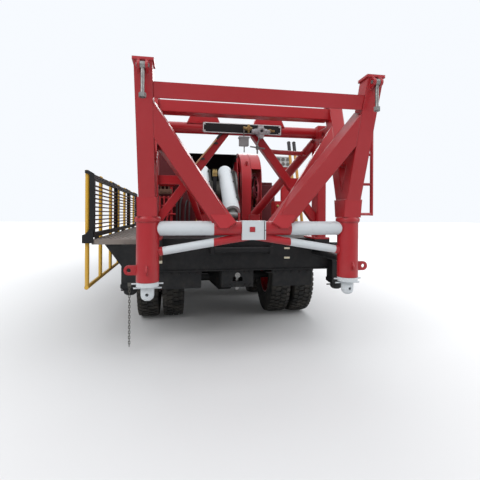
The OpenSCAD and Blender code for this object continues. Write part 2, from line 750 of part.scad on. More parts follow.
// Rectangle with round corners, from one corner to the other
module rounded(low, high, r) {
    translate([low[0] + r, low[1]]) square([high[0] - low[0] - 2 * r, high[1] - low[1]]);
    translate([low[0], low[1] + r]) square([high[0] - low[0], high[1] - low[1] - 2 * r]);
    for (x = [low[0] + r, high[0] - r], z = [low[1] + r, high[1] - r])
        translate([x, z]) circle(r = r);
}
module fuel_tanks() color(grey) place() {
    low = [rail_width / 2 + 40, 480];
    high = [1160, 1040];
    both_sides() {
        translate([0, 6400, 0]) rotate([90, 0, 0]) linear_extrude(1700) rounded(low, high, 90);
        // Straps, cap and brackets to the rail
        for (y = [4900, 5520, 6140])
            translate([0, y + 60, 0]) rotate([90, 0, 0]) linear_extrude(60) rounded(low - [6, 6], high + [6, 6], 96);
        translate([960, 6250, 1030]) cylinder(h = 50, d = 110);
        for (y = [4900, 6140])
            box([rail_width / 2, y, 860], [rail_width / 2 + 60, y + 60, 1000]);
    }
}
module front_rest() color(red) place() {
    y0 = 7380;
    y1 = 7500;
    translate([0, y1, 0]) rotate([90, 0, 0]) linear_extrude(y1 - y0) {
        for (s = [-1, 1]) {
            lean([s * 640, deck_z], [s * 540, 2800], 110);
            bar([s * 560, 2250], [s * 60, 2780], 80);
        }
        // Beam with a shallow cradle for the mast's crown
        polygon([[-620, 2780], [620, 2780], [620, 2990], [500, 2990], [430, 2900], [-430, 2900], [-500, 2990],
            [-620, 2990]]);
    }
    both_sides() {
        box([560, y0 - 40, deck_z], [720, y1 + 40, deck_z + 20]);
        // Rear props
        across(600, 660) bar([y0 - 620, deck_z + 40], [y0 + 20, 2300], 70);
        box([590, y0 - 700, deck_z], [670, y0 - 560, deck_z + 20]);
    }
}

module driveline() color(grey) place() {
    box([-330, 7900, 640], [330, 9100, cab_z - 10]);
    box([-200, 7200, 700], [200, 7900, 1060]);
    rod([0, mid_axle_y + axle_bowl_r + 3, axle_z], [0, 7210, 800], 110);
    rod([0, rear_axle_y + axle_bowl_r + gap, axle_z], [0, mid_axle_y - axle_bowl_r - gap, axle_z], 110);
    // Brackets that carry the block between the rails
    both_sides() box([330, 8400, 860], [rail_width / 2 - rail_t, 8520, 1020]);
}
module rear_axles() color(black) place() {
    stub_end = rear_width / 2 - tyre_w / 2 - twin_pitch / 2 + 110;
    for (y = [rear_axle_y, mid_axle_y])
        translate([0, y, axle_z]) rotate([0, 90, 0]) rotate_extrude() {
            half = [[axle_tube_d / 2, 230], [axle_tube_d / 2, 560], [stub_d / 2, 560], [stub_d / 2, stub_end], [0, stub_end]];
            polygon(concat([[0, 0], [axle_bowl_r, 0], [axle_bowl_r, 90]], half));
            mirror([0, 1]) polygon(concat([[0, -1], [axle_bowl_r, -1], [axle_bowl_r, 90]], half));
        }
}
module front_axle() color(black) place() {
    box([-kingpin_track / 2 + 60, front_axle_y - 55, axle_z - 60], [kingpin_track / 2 - 60, front_axle_y + 55, axle_z + 40]);
    both_sides() difference() {
        translate([kingpin_track / 2, front_axle_y, axle_z - 60]) cylinder(h = 120, d = 130);
        translate([kingpin_track / 2, front_axle_y, axle_z - 61]) cylinder(h = 122, d = 50 + 2 * gap);
    }
}
module springs() color(black) place() {
    x0 = rail_width / 2 - 85;
    x1 = rail_width / 2;
    z0 = axle_z + 40;
    mid = rear_axle_y + tandem_pitch / 2;
    both_sides() {
        across(x0, x1)
            translate([front_axle_y, 0])
                polygon([[-100, z0], [100, z0], [700, spring_eye_z - 30], [700, spring_eye_z], [600, spring_eye_z],
                    [100, z0 + 90], [-100, z0 + 90], [-600, spring_eye_z], [-700, spring_eye_z],
                    [-700, spring_eye_z - 30]]);
        across(x0, x1)
            polygon([[rear_axle_y - 60, spring_z], [mid_axle_y + 60, spring_z], [mid_axle_y + 60, spring_z + 30],
                [mid + 110, spring_z + spring_h], [mid - 110, spring_z + spring_h], [rear_axle_y - 60, spring_z + 30]]);
    }
}

module cab_side() {
    polygon([[cab_rear_y, cab_z], [cab_front_y - 60, cab_z], [cab_front_y, cab_z + 300], [cab_front_y - 20, 1950],
        [cab_front_y - 220, cab_roof_z - 60], [cab_front_y - 320, cab_roof_z], [cab_rear_y + 60, cab_roof_z],
        [cab_rear_y, cab_roof_z - 60]]);
}
module cab_shell() color(white) place() {
    t = cab_t;
    difference() {
        across(-cab_w / 2, cab_w / 2) cab_side();
        across(-cab_w / 2 + t, cab_w / 2 - t) offset(delta = -t) cab_side();
        // Door openings
        for (s = [-1, 1])
            translate([s * cab_w / 2, 0, 0])
                box([-t - 5, door_y[0], door_z[0]], [t + 5, door_y[1], door_z[1]]);
        // Windscreen and rear window
        box([-screen_x, cab_front_y - 400, 1960], [screen_x, cab_front_y + 10, cab_roof_z - 150]);
        box([-600, cab_rear_y - 5, 2050], [600, cab_rear_y + t + 5, 2600]);
    }
    hinge_pins();
}
// Door hinges: knuckles outside the wall at the door's front edge
module hinge_pins() for (s = [-1, 1])
    for (z = hinge_zs)
        translate([s * door_hinge_x, door_hinge_y, z]) {
            cylinder(h = 60, d = 28);
            cylinder(h = 120, d = 16);
            translate([s > 0 ? -14 : 0, 0, 0]) cube([14, 40, 60]);
        }
module door() {
    t = cab_t;
    translate([cab_w / 2 - t, 0, 0]) difference() {
        box([0, door_y[0] + run, door_z[0] + run], [t, door_y[1] - run, door_z[1] - run]);
        box([-1, door_y[0] + 90, 1980], [t + 1, door_y[1] - 120, door_z[1] - 90]);
    }
    for (z = hinge_zs)
        translate([door_hinge_x, door_hinge_y, z + 60 + gap]) difference() {
            union() {
                cylinder(h = 60, d = 28);
                translate([-14, -60, 0]) cube([14, 60, 60]);
            }
            translate([0, 0, -1]) cylinder(h = 62, d = 16 + 2 * gap);
        }
}
module door_right() color(white) place() door();
module door_left() color(white) place() mirror([1, 0, 0]) door();
module cab_glass() color([0.3, 0.35, 0.4]) place() {
    box([-600 + gap, cab_rear_y + 20, 2050], [600 - gap, cab_rear_y + 26, 2600]);
    across(-screen_x + gap, screen_x - gap) intersection() {
        bar([cab_front_y - 28, 1850], [cab_front_y - 228, cab_roof_z + 40], 6);
        translate([cab_front_y - 400, 1960]) square([500, cab_roof_z - 150 - 1960]);
    }
}
// Where the front wall's inner face lies, by height
function wall_y(z) = cab_front_y - cab_t - 20 * (z - cab_z - 300) / (1650 - cab_z) - gap;
module cab_interior() color([0.2, 0.2, 0.22]) place() {
    floor_z = cab_z + cab_t;
    both_sides() {
        box([450, 8300, floor_z], [950, 8850, floor_z + 450]);
        box([450, 8180, floor_z + 450], [950, 8320, floor_z + 1150]);
    }
    across(-cab_w / 2 + cab_t + 8, cab_w / 2 - cab_t - 8)
        polygon([[wall_y(1680) - 280, 1680], [wall_y(1680), 1680], [wall_y(1920), 1920], [wall_y(1920) - 240, 1920]]);
    rod([-700, wall_y(1800) - 260, 1800], [-700, wall_y(1800) - 420, 1990], 40);
    translate([-700, wall_y(1800) - 420, 1990]) rotate([40, 0, 0]) cylinder(h = 30, d = 440);
}
module cab_trim() color(black) place() {
    w = cab_w / 2;
    front = chassis_front_y;
    box([-w, front, 480], [w, front + 190, 860]);
    box([-w + 140, front, 860], [w - 140, front + 30, cab_z]);
    both_sides() {
        box([950, 9020, 450], [w - 10, 9400, cab_z]);
        // Mirror on its arm
        rod([w, cab_front_y - 150, 1950], [w + 110, cab_front_y - 150, 1950], 24);
        rod([w, cab_front_y - 150, 2450], [w + 110, cab_front_y - 150, 2450], 24);
        box([w + 30, cab_front_y - 170, 1900], [x_high, cab_front_y - 130, 2500]);
    }
}
module lamps() color(white) place() {
    both_sides() translate([940, chassis_front_y + 190, 670]) rotate([-90, 0, 0]) cylinder(h = 25, d = 180);
}

ram_bore = 170;
module ram_feet() color(steel) place() {
    for (c = ram_x)
        translate([c, ram_foot[0], ram_foot[1]]) {
            rod([-92, 0, 0], [92, 0, 0], 60);
            rod([-60, 0, 0], [60, 0, 0], 120);
            rotate([ram_angle - 90, 0, 0]) {
                cylinder(h = 90, d = 110);
                translate([0, 0, 75]) cylinder(h = ram_l - 135, d = ram_bore);
            }
        }
}
module ram_barrels() color(white) place() {
    for (c = ram_x)
        translate([c, ram_foot[0], ram_foot[1]]) rotate([ram_angle - 90, 0, 0]) difference() {
            rotate_extrude() difference() {
                union() {
                    translate([0, 90]) square([ram_d / 2, ram_l - 90]);
                    intersection() {
                        translate([0, ram_l]) circle(d = ram_d);
                        square([ram_d, ram_l + ram_d]);
                    }
                }
                translate([-1, 89]) square([ram_bore / 2 + gap + 1, ram_l - 149]);
            }
        }
}

module jack() {
    translate([leg_x, 0, 0]) difference() {
        rotate_extrude() polygon([[0, 720], [30, 722], [52, 740], [jack_d / 2, 770], [jack_d / 2, 850], [100, 850],
            [100, leg_bottom_z - gap], [jack_d / 2, leg_bottom_z - gap], [jack_d / 2, jack_top_z], [0, jack_top_z]]);
        translate([0, 200, 780]) rotate([90, 0, 0]) cylinder(h = 400, d = 30);
    }
    // Handle bars through the flange and the collar under it
    rod([leg_x - 140, 0, 872], [leg_x + 140, 0, 872], 14);
    rod([leg_x - 125, 0, 832], [leg_x + 125, 0, 832], 14);
}
module jack_right() color(white) place() jack();
module jack_left() color(white) place() mirror([1, 0, 0]) jack();

module outrigger() {
    w = outrigger_w - 24 - 4 * gap;
    foot = outrigger_foot_z;
    translate([outrigger_track / 2, platform_rear_y + 10, 0]) {
        box([-w / 2, -w / 2, foot + 68], [w / 2, w / 2, deck_z - 100]);
        rotate_extrude() polygon([[0, foot], [40, foot], [62, foot + 14], [70, foot + 30], [70, foot + 68], [0, foot + 68]]);
        rod([-120, 0, foot + 52], [100, 0, foot + 52], 16);
    }
}
module outrigger_right() color(black) place() outrigger();
module outrigger_left() color(black) place() mirror([1, 0, 0]) outrigger();

module walkway_panel() color(black) place() {
    x0 = panel_in_x - panel_t;
    top = panel_z + panel_h;
    across(x0, panel_in_x) {
        for (y = panel_posts)
            translate([y, panel_z]) square([panel_post_w, panel_h]);
        for (z = [panel_z, top - 50])
            translate([panel_posts[0], z]) square([panel_posts[3] - panel_posts[0], 50]);
    }
    // Bars of the grating
    for (z = [panel_z + 90 : 48 : top - 90])
        box([x0 + 16, panel_posts[0], z], [x0 + 34, panel_posts[3] + 1, z + 14]);
    // Arms down to the hinge pins
    for (y = hinge_ys)
        translate([0, y + 58, 0]) rotate([90, 0, 0]) linear_extrude(40) difference() {
            union() {
                translate([hinge_x, hinge_z]) circle(d = hinge_eye_d);
                translate([hinge_x - hinge_eye_d / 2, hinge_z]) square([hinge_eye_d, panel_z - hinge_z]);
                translate([x0, panel_z - 20]) square([hinge_x + hinge_eye_d / 2 - x0, 21]);
            }
            translate([hinge_x, hinge_z]) circle(d = 24 + 2 * gap);
        }
    // Ears and rod that carry the handrail
    for (y = rail_ears)
        translate([0, y + rail_ear_t, 0]) rotate([90, 0, 0]) linear_extrude(rail_ear_t)
            polygon([[x0, top - 1], [panel_in_x, top - 1], [panel_in_x, top + 10], [rail_x + 16, rail_hinge_z + 18],
                [rail_x - 20, rail_hinge_z + 18], [rail_x - 20, rail_hinge_z - 14]]);
    rod([rail_x, rail_ears[0], rail_hinge_z], [rail_x, rail_ears[3] + rail_ear_t, rail_hinge_z], 20);
}
module handrail() color(yellow) place() {
    z0 = rail_hinge_z - handrail_h;
    difference() {
        union() {
            for (i = [0 : rail_posts]) {
                y = rail_y[0] + i * rail_pitch;
                rod([rail_x, y, z0], [rail_x, y, rail_hinge_z], handrail_d);
                rod([rail_x, y - handrail_d / 2, rail_hinge_z], [rail_x, y + handrail_d / 2, rail_hinge_z], handrail_d);
            }
            rod([rail_x, rail_y[0] - handrail_d / 2, z0], [rail_x, rail_y[1] + handrail_d / 2, z0], handrail_d);
        }
        rod([rail_x, rail_y[0] - 40, rail_hinge_z], [rail_x, rail_y[1] + 40, rail_hinge_z], 20 + 2 * gap);
    }
}

module knuckle() {
    translate([kingpin_track / 2, front_axle_y, axle_z]) {
        translate([0, 0, -110]) cylinder(h = 220, d = 50);
        for (z = [-110, 60 + gap])
            translate([0, 0, z]) cylinder(h = 50 - gap, d = 110);
        box([70, -60, -110], [knuckle_l, 60, 110]);
        box([0, -45, -110], [90, 45, -60 - gap]);
        box([0, -45, 60 + gap], [90, 45, 110]);
        rod([90, 0, 0], [(front_track - kingpin_track) / 2 + twin_pitch / 2 + 20, 0, 0], stub_d);
    }
}
module knuckle_right() color(black) place() knuckle();
module knuckle_left() color(black) place() mirror([1, 0, 0]) knuckle();

module tyre_outline() {
    r = tyre_d / 2;
    w = tyre_w / 2;
    polygon([[rim_d / 2, -w + 25], [rim_d / 2 + 60, -w + 4], [r - 150, -w], [r - 40, -w + 12], [r - 8, -w + 40], [r, -w + 60],
        [r, w - 60], [r - 8, w - 40], [r - 40, w - 12], [r - 150, w], [rim_d / 2 + 60, w - 4], [rim_d / 2, w - 25]]);
}
// Half width of the rim, and how far its disc stands out from the middle of the tyre
rim_w = tyre_w / 2 - 25;
disc_x = twin_pitch / 2;
module rim_outline() {
    r = rim_d / 2 - gap;
    polygon([[r, -rim_w], [r, rim_w], [r - 16, rim_w], [r - 24, rim_w - 30], [200, disc_x], [80, disc_x],
        [80, disc_x - 16], [195, disc_x - 16], [r - 38, rim_w - 50], [r - 20, -rim_w]]);
}
// Hub and brake drum, bored for the stub, with a closed cap
module hub_outline(cap, start) {
    bore = stub_d / 2 + gap;
    polygon([[bore, start], [100, start], [100, disc_x - 60], [190, disc_x - 60], [190, -90], [205, -90],
        [205, disc_x - 16], [110, disc_x - 16], [110, disc_x + cap - 30], [80, disc_x + cap], [0, disc_x + cap],
        [0, disc_x + cap - 20], [bore, disc_x + cap - 20]]);
}
module turned() rotate([0, 90, 0]) rotate_extrude() children();
module front_wheel(s, what) {
    translate([s * front_track / 2, front_axle_y, axle_z]) mirror([s < 0 ? 1 : 0, 0, 0])
        if (what == "tyre")
            turned() tyre_outline();
        else
            turned() {
                rim_outline();
                hub_outline(60, knuckle_l + 50 - (front_track - kingpin_track) / 2);
            }
}
module rear_wheel(s, y, what) {
    in = rear_width / 2 - tyre_w / 2 - twin_pitch;
    translate([0, y, axle_z]) mirror([s < 0 ? 1 : 0, 0, 0]) translate([in, 0, 0])
        if (what == "tyre")
            for (x = [0, twin_pitch])
                translate([x, 0, 0]) turned() tyre_outline();
        else {
            turned() {
                rim_outline();
                hub_outline(150, -20);
            }
            translate([twin_pitch, 0, 0]) mirror([1, 0, 0]) turned() rim_outline();
        }
}
module tyre_front_left() color(black) place() front_wheel(-1, "tyre");
module tyre_front_right() color(black) place() front_wheel(1, "tyre");
module rim_front_left() color(red) place() front_wheel(-1, "rim");
module rim_front_right() color(red) place() front_wheel(1, "rim");
module tyres_rear_left() color(black) place() rear_wheel(-1, rear_axle_y, "tyre");
module tyres_rear_right() color(black) place() rear_wheel(1, rear_axle_y, "tyre");
module rims_rear_left() color(red) place() rear_wheel(-1, rear_axle_y, "rim");
module rims_rear_right() color(red) place() rear_wheel(1, rear_axle_y, "rim");
module tyres_mid_left() color(black) place() rear_wheel(-1, mid_axle_y, "tyre");
module tyres_mid_right() color(black) place() rear_wheel(1, mid_axle_y, "tyre");
module rims_mid_left() color(red) place() rear_wheel(-1, mid_axle_y, "rim");
module rims_mid_right() color(red) place() rear_wheel(1, mid_axle_y, "rim");

chassis_frame();
deck();
rear_beam();
outrigger_housings();
platform();
walkway_hinges();
leg_left();
leg_right();
base_bracing();
white_tubes();
swing_bolts();
mast_bracket();
bracket_braces();
drawworks_frame();
drum_hood();
drum_guard();
console();
console_stand();
brake_levers();
deck_engine();
exhaust();
gearbox();
hydraulic_tank();
fuel_tanks();
front_rest();
driveline();
rear_axles();
front_axle();
springs();
cab_shell();
cab_glass();
cab_interior();
cab_trim();
lamps();
drum();
ram_feet();
ram_barrels();
jack_left();
jack_right();
outrigger_left();
outrigger_right();
walkway_panel();
handrail();
door_left();
door_right();
knuckle_left();
knuckle_right();
tyre_front_left();
tyre_front_right();
rim_front_left();
rim_front_right();
tyres_rear_left();
tyres_rear_right();
rims_rear_left();
rims_rear_right();
tyres_mid_left();
tyres_mid_right();
rims_mid_left();
rims_mid_right();
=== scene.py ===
"""Looks of the workover rig: materials, small detail, stage, light and camera.

Places are written in the truck's own frame, in metres: x = 0 is the truck's middle, y = 0 the plane
of the two screw-jack legs, z = 0 the ground. at() turns such a place into the part's frame.
"""
import math
from itertools import product

import bmesh
import bpy
from mathutils import Matrix, Vector


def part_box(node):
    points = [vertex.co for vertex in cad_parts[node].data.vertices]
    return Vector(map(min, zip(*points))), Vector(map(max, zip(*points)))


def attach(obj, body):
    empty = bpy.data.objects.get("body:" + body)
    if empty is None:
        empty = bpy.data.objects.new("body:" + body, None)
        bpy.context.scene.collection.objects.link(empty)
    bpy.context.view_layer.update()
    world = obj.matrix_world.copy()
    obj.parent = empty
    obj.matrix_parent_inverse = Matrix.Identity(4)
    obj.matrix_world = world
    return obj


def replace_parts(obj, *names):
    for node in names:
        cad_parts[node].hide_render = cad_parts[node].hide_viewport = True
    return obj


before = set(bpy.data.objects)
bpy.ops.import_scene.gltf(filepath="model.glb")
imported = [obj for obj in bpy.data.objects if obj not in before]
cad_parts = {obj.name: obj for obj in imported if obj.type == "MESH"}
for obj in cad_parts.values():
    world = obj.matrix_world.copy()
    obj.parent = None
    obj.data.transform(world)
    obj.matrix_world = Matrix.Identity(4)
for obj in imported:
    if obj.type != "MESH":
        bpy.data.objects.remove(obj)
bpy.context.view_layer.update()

X, Y, Z = Vector((1, 0, 0)), Vector((0, 1, 0)), Vector((0, 0, 1))
SIDES = (("left", -1), ("right", 1))


def middle(node):
    """Middle of a CAD node's box, in the part's frame."""
    low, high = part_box(node)
    return (Vector(low) + Vector(high)) / 2


# The truck's own zero, from the two screw jacks
ZERO = (middle("jack_left") + middle("jack_right")) / 2
ZERO.z = 0


def at(x, y, z):
    """A place in the truck's frame, turned into the part's frame."""
    return ZERO + Vector((x, y, z))


def span(node):
    """Lowest and highest corner of a CAD node, in the truck's frame."""
    low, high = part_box(node)
    return Vector(low) - ZERO, Vector(high) - ZERO


# Places that several pieces share

DECK_Z = 1.217                    # top of the deck
LEG_X = 0.965                     # middle of a leg
BEAM_BACK = 0.85                  # rear face of the rear beam
TUBE_Z = 2.475                    # middle of the bracket's top tube
TUBE_FACE = 0.6875                # rear face of that tube
VALVE_AT = Vector((0.204, TUBE_FACE - 0.062, 2.448))
DRUM_AT = (3.6, 1.95)             # the drum's axis, y and z
BEND_AT = (3.6, 2.11)             # middle of the hood's and the guard's bend, y and z
GUARD_X = (0.42, 0.61)            # the guard's band, from and to
GUARD_R = 0.58                    # outer radius of its bend
GUARD_FOOT = 1.4
PLATE_X = 0.788                   # the guard's outer plate
RING_X = 0.77                     # face of the ring in that plate


# Colours

def srgb(r, g, b):
    """Linear colour from 0-255 screen values."""
    values = (v / 255 for v in (r, g, b))
    linear = (v / 12.92 if v <= 0.04045 else ((v + 0.055) / 1.055) ** 2.4 for v in values)
    return (*linear, 1.0)


def scaled(colour, share, lift=0.0):
    """Colour made darker or lighter by a share, with its alpha kept."""
    return (*(min(1.0, c * share + lift) for c in colour[:3]), 1.0)


RED = srgb(156, 12, 22)
RED_FADED = srgb(166, 34, 44)
WHITE = srgb(194, 199, 202)
BLACK = srgb(20, 21, 23)
YELLOW = srgb(202, 158, 50)
GREY = srgb(138, 141, 143)
STEEL = srgb(150, 150, 148)
DUST = srgb(150, 140, 124)
RUBBER = srgb(24, 24, 24)


# Materials

class Nodes:
    """Adds nodes to a material or a world, and links them."""

    def __init__(self, owner, shader="Principled BSDF"):
        owner.use_nodes = True
        self.tree = owner.node_tree
        self.shader = self.tree.nodes[shader]

    def add(self, kind, **settings):
        node = self.tree.nodes.new(kind)
        for key, value in settings.items():
            setattr(node, key, value)
        return node

    def put(self, value, socket):
        """Sets a socket to a plain value, or links another node's output to it."""
        if isinstance(value, bpy.types.NodeSocket):
            self.tree.links.new(value, socket)
        else:
            socket.default_value = value

    def shade(self, name, value):
        self.put(value, self.shader.inputs[name])

    def noise(self, scale, detail=4.0, rough=0.6, stretch=None):
        node = self.add("ShaderNodeTexNoise")
        self.put(scale, node.inputs["Scale"])
        self.put(detail, node.inputs["Detail"])
        self.put(rough, node.inputs["Roughness"])
        source = self.add("ShaderNodeTexCoord").outputs["Object"]
        if stretch:
            mapping = self.add("ShaderNodeMapping")
            self.put(stretch, mapping.inputs["Scale"])
            self.put(source, mapping.inputs["Vector"])
            source = mapping.outputs["Vector"]
        self.put(source, node.inputs["Vector"])
        return node.outputs["Fac"]

    def ramp(self, source, low, high, a=0.0, b=1.0):
        """Turns the range low to high into a to b."""
        node = self.add("ShaderNodeMapRange")
        for value, name in ((low, "From Min"), (high, "From Max"), (a, "To Min"), (b, "To Max"),
                            (source, "Value")):
            self.put(value, node.inputs[name])
        return node.outputs["Result"]

    def mix(self, factor, a, b):
        node = self.add("ShaderNodeMix", data_type="RGBA")
        for value, name in ((factor, "Factor"), (a, "A"), (b, "B")):
            self.put(value, node.inputs[name])
        return node.outputs["Result"]

    def maths(self, operation, a, b):
        node = self.add("ShaderNodeMath", operation=operation)
        self.put(a, node.inputs[0])
        self.put(b, node.inputs[1])
        return node.outputs[0]

    def times(self, a, b):
        return self.maths("MULTIPLY", a, b)

    def position(self):
        return self.add("ShaderNodeNewGeometry").outputs["Position"]

    def height_of(self, source):
        """The z of a place or a direction."""
        split = self.add("ShaderNodeSeparateXYZ")
        self.put(source, split.inputs[0])
        return split.outputs["Z"]

    def sees_backdrop(self):
        """1 for a ray that should meet a white background, 0 for any other."""
        paths = self.add("ShaderNodeLightPath").outputs
        return self.maths("MAXIMUM", paths["Is Camera Ray"], paths["Is Transmission Ray"])

    def bump(self, source, strength, distance=0.002, edge=0.0):
        """Fine relief; edge is the radius that shades sharp corners round."""
        node = self.add("ShaderNodeBump")
        if edge:
            corner = self.add("ShaderNodeBevel", samples=6)
            self.put(edge, corner.inputs["Radius"])
            self.put(corner.outputs["Normal"], node.inputs["Normal"])
        self.put(strength, node.inputs["Strength"])
        self.put(distance, node.inputs["Distance"])
        self.put(source, node.inputs["Height"])
        self.shade("Normal", node.outputs["Normal"])
        self.shade("Coat Normal", node.outputs["Normal"])


def paint(name, colour, faded_and_highlight, rough=0.35, dust=0.35, coat=0.25, edge=0.0):
    """Sprayed paint: slow fading, fine mottling, dust low down and faint orange peel."""
    material = bpy.data.materials.new(name)
    n = Nodes(material)
    fade = n.ramp(n.noise(1.3, 3.0), 0.42, 0.72)
    base = n.mix(n.times(fade, 0.45), colour, faded_and_highlight)
    low = n.ramp(n.height_of(n.position()), 1.3, 0.2)
    patch = n.ramp(n.noise(9.0, 6.0, 0.7), 0.45, 0.75)
    n.shade("Base Color", n.mix(n.times(n.times(low, patch), dust), base, DUST))
    n.shade("Roughness", n.ramp(n.noise(22.0, 3.0), 0.3, 0.7, rough - 0.06, rough + 0.14))
    n.shade("Specular IOR Level", 0.3)
    n.shade("Coat Weight", coat)
    n.shade("Coat Roughness", 0.3)
    n.bump(n.noise(160.0, 2.0), 0.06, 0.0015, edge)
    return material


def metal(name, colour, rough=0.35, stretch=None, metallic=0.9):
    """Metal with darker, duller worn patches."""
    material = bpy.data.materials.new(name)
    n = Nodes(material)
    worn = n.ramp(n.noise(14.0, 5.0, 0.65, stretch), 0.35, 0.7)
    n.shade("Base Color", n.mix(worn, colour, scaled(colour, 0.55)))
    n.shade("Roughness", n.ramp(worn, 0.0, 1.0, rough, rough + 0.25))
    n.shade("Metallic", metallic)
    n.bump(n.noise(90.0, 3.0, 0.6, stretch), 0.08, 0.001)
    return material


def plastic(name, colour, rough=0.5):
    """Plastic with a fine grain."""
    material = bpy.data.materials.new(name)
    n = Nodes(material)
    light = scaled(colour, 1.35, 0.01)
    n.shade("Base Color", n.mix(n.ramp(n.noise(5.0), 0.35, 0.75), colour, light))
    n.shade("Roughness", n.ramp(n.noise(30.0), 0.3, 0.7, rough - 0.08, rough + 0.1))
    n.bump(n.noise(220.0, 2.0), 0.18, 0.0008)
    return material


def rubber(name, colour=RUBBER):
    """Dull rubber with some dust on it."""
    material = bpy.data.materials.new(name)
    n = Nodes(material)
    dusty = n.times(n.ramp(n.noise(7.0, 5.0, 0.7), 0.4, 0.75), 0.2)
    n.shade("Base Color", n.mix(dusty, colour, DUST))
    n.shade("Roughness", 0.78)
    n.bump(n.noise(120.0, 3.0), 0.2, 0.001)
    return material


def glass(name, tint):
    """Clear, lightly tinted glass."""
    material = bpy.data.materials.new(name)
    n = Nodes(material)
    n.shade("Base Color", n.mix(n.ramp(n.noise(2.0), 0.3, 0.8), tint, scaled(tint, 0.85)))
    n.shade("Roughness", 0.04)
    n.shade("Transmission Weight", 0.92)
    n.shade("IOR", 1.15)
    return material


MATERIALS = {
    "red": paint("paint_red", RED, RED_FADED, dust=0.12, coat=0.55, edge=0.018),
    # Pink copy of the red paint: painted highlight where the guard's ring and studs catch light
    "faded_and_highlight": paint("paint_red_painted_highlight", srgb(206, 92, 104), srgb(218, 128, 138), dust=0.1, coat=0.5,
                   edge=0.006),
    "ochre": paint("paint_ochre", srgb(178, 126, 40), srgb(166, 120, 54), rough=0.4),
    "white": paint("paint_white", WHITE, srgb(188, 193, 196), rough=0.3),
    "panel": paint("paint_panel", srgb(198, 200, 200), srgb(184, 186, 186), rough=0.4),
    "black": paint("paint_black", BLACK, srgb(30, 31, 33), rough=0.55, dust=0.1, coat=0.0),
    "yellow": paint("paint_yellow", YELLOW, srgb(196, 160, 84), rough=0.38),
    "grey": paint("paint_grey", GREY, srgb(150, 152, 150), rough=0.4),
    "deck": paint("paint_deck", srgb(124, 116, 110), srgb(150, 142, 134), rough=0.6, dust=0.5,
                  coat=0.0),
    "steel": metal("bare_steel", STEEL),
    "brass": metal("brass", srgb(182, 158, 104), rough=0.36, metallic=0.75),
    "tyre": rubber("tyre_rubber"),
    "hose": rubber("hose_rubber", srgb(26, 26, 28)),
    # Red darkened as painted shade, for the ring's web, the drive case and the deck shield
    "painted_shade_red": paint("paint_red_painted_shade", srgb(72, 10, 16), srgb(86, 22, 28), rough=0.6, coat=0.0),
    "rust": paint("paint_rust", srgb(92, 66, 54), srgb(126, 98, 80), rough=0.75, coat=0.0),
    "grip": plastic("black_grip", srgb(30, 28, 30), rough=0.6),
    "pale": plastic("pale_reflector", srgb(206, 200, 176), rough=0.25),
    "mirror": metal("mirror_face", srgb(196, 202, 206), rough=0.06, metallic=1.0),
    "amber": plastic("amber_lens", srgb(214, 120, 20), rough=0.2),
    "tan": plastic("tan_strip", srgb(176, 140, 104), rough=0.7),
    "casting": metal("grey_casting", srgb(184, 186, 188), rough=0.45, metallic=0.3),
    "wire": metal("wire_rope", srgb(112, 110, 104), rough=0.45, stretch=(60.0, 4.0, 4.0)),
    "glass": glass("window_glass", (0.62, 0.72, 0.74, 1.0)),
    "lens": plastic("lamp_lens", srgb(222, 224, 224), rough=0.2),
    "plastic": plastic("cabin_plastic", srgb(52, 54, 58)),
}

# The CAD nodes that each material goes on; tyres are rubber and all the others red
LOOKS = {
    "black": ["chassis_frame", "deck", "rear_beam", "outrigger_housings", "rear_axles",
              "front_axle", "springs", "drum_hood", "cab_trim", "outrigger_left",
              "outrigger_right", "walkway_panel", "knuckle_left", "knuckle_right",
              "walkway_hinges"],
    "deck": ["platform"],
    "white": ["white_tubes", "ram_barrels", "jack_left", "jack_right", "cab_shell", "door_left",
              "door_right"],
    "ochre": ["brake_levers"],
    "yellow": ["handrail", "deck_engine"],
    "panel": ["console"],
    "grey": ["gearbox", "fuel_tanks", "driveline"],
    "steel": ["swing_bolts", "ram_feet", "exhaust", "drum"],
    "glass": ["cab_glass"],
    "lens": ["lamps"],
    "plastic": ["cab_interior"],
}


def look_of(node):
    """Name of the material that a CAD node gets."""
    if node.startswith("tyre"):
        return "tyre"
    for look, nodes in LOOKS.items():
        if node in nodes:
            return look
    return "red"


for name, cad_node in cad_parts.items():
    for slot in cad_node.material_slots:
        slot.material = MATERIALS[look_of(name)]


# Shapes

def circle(radius, count, start=0.0):
    """Points of a circle as (cosine, sine) pairs times the radius."""
    angles = [start + 2 * math.pi * i / count for i in range(count)]
    return [(radius * math.cos(v), radius * math.sin(v)) for v in angles]


def bend(points):
    """Smooth run through a row of points, in six steps from each to the next."""
    points = [Vector(p) for p in points]
    padded = [points[0]] + points + [points[-1]]
    run = []
    for a, b, c, d in zip(padded, padded[1:], padded[2:], padded[3:]):
        for t in (k / 6 for k in range(6)):
            run.append(0.5 * (2 * b + (c - a) * t + (2 * a - 5 * b + 4 * c - d) * t * t
                              + (3 * b - a - 3 * c + d) * t ** 3))
    return run + [points[-1]]


def rounded(a0, a1, b0, b1, corner):
    """Outline of a rounded rectangle as pairs, in five steps round each corner."""
    points = []
    for a, b, quarter in ((a1 - corner, b1 - corner, 0), (a0 + corner, b1 - corner, 1),
                          (a0 + corner, b0 + corner, 2), (a1 - corner, b0 + corner, 3)):
        for k in range(6):
            angle = math.pi / 2 * (quarter + k / 5)
            points.append((a + corner * math.cos(angle), b + corner * math.sin(angle)))
    return points


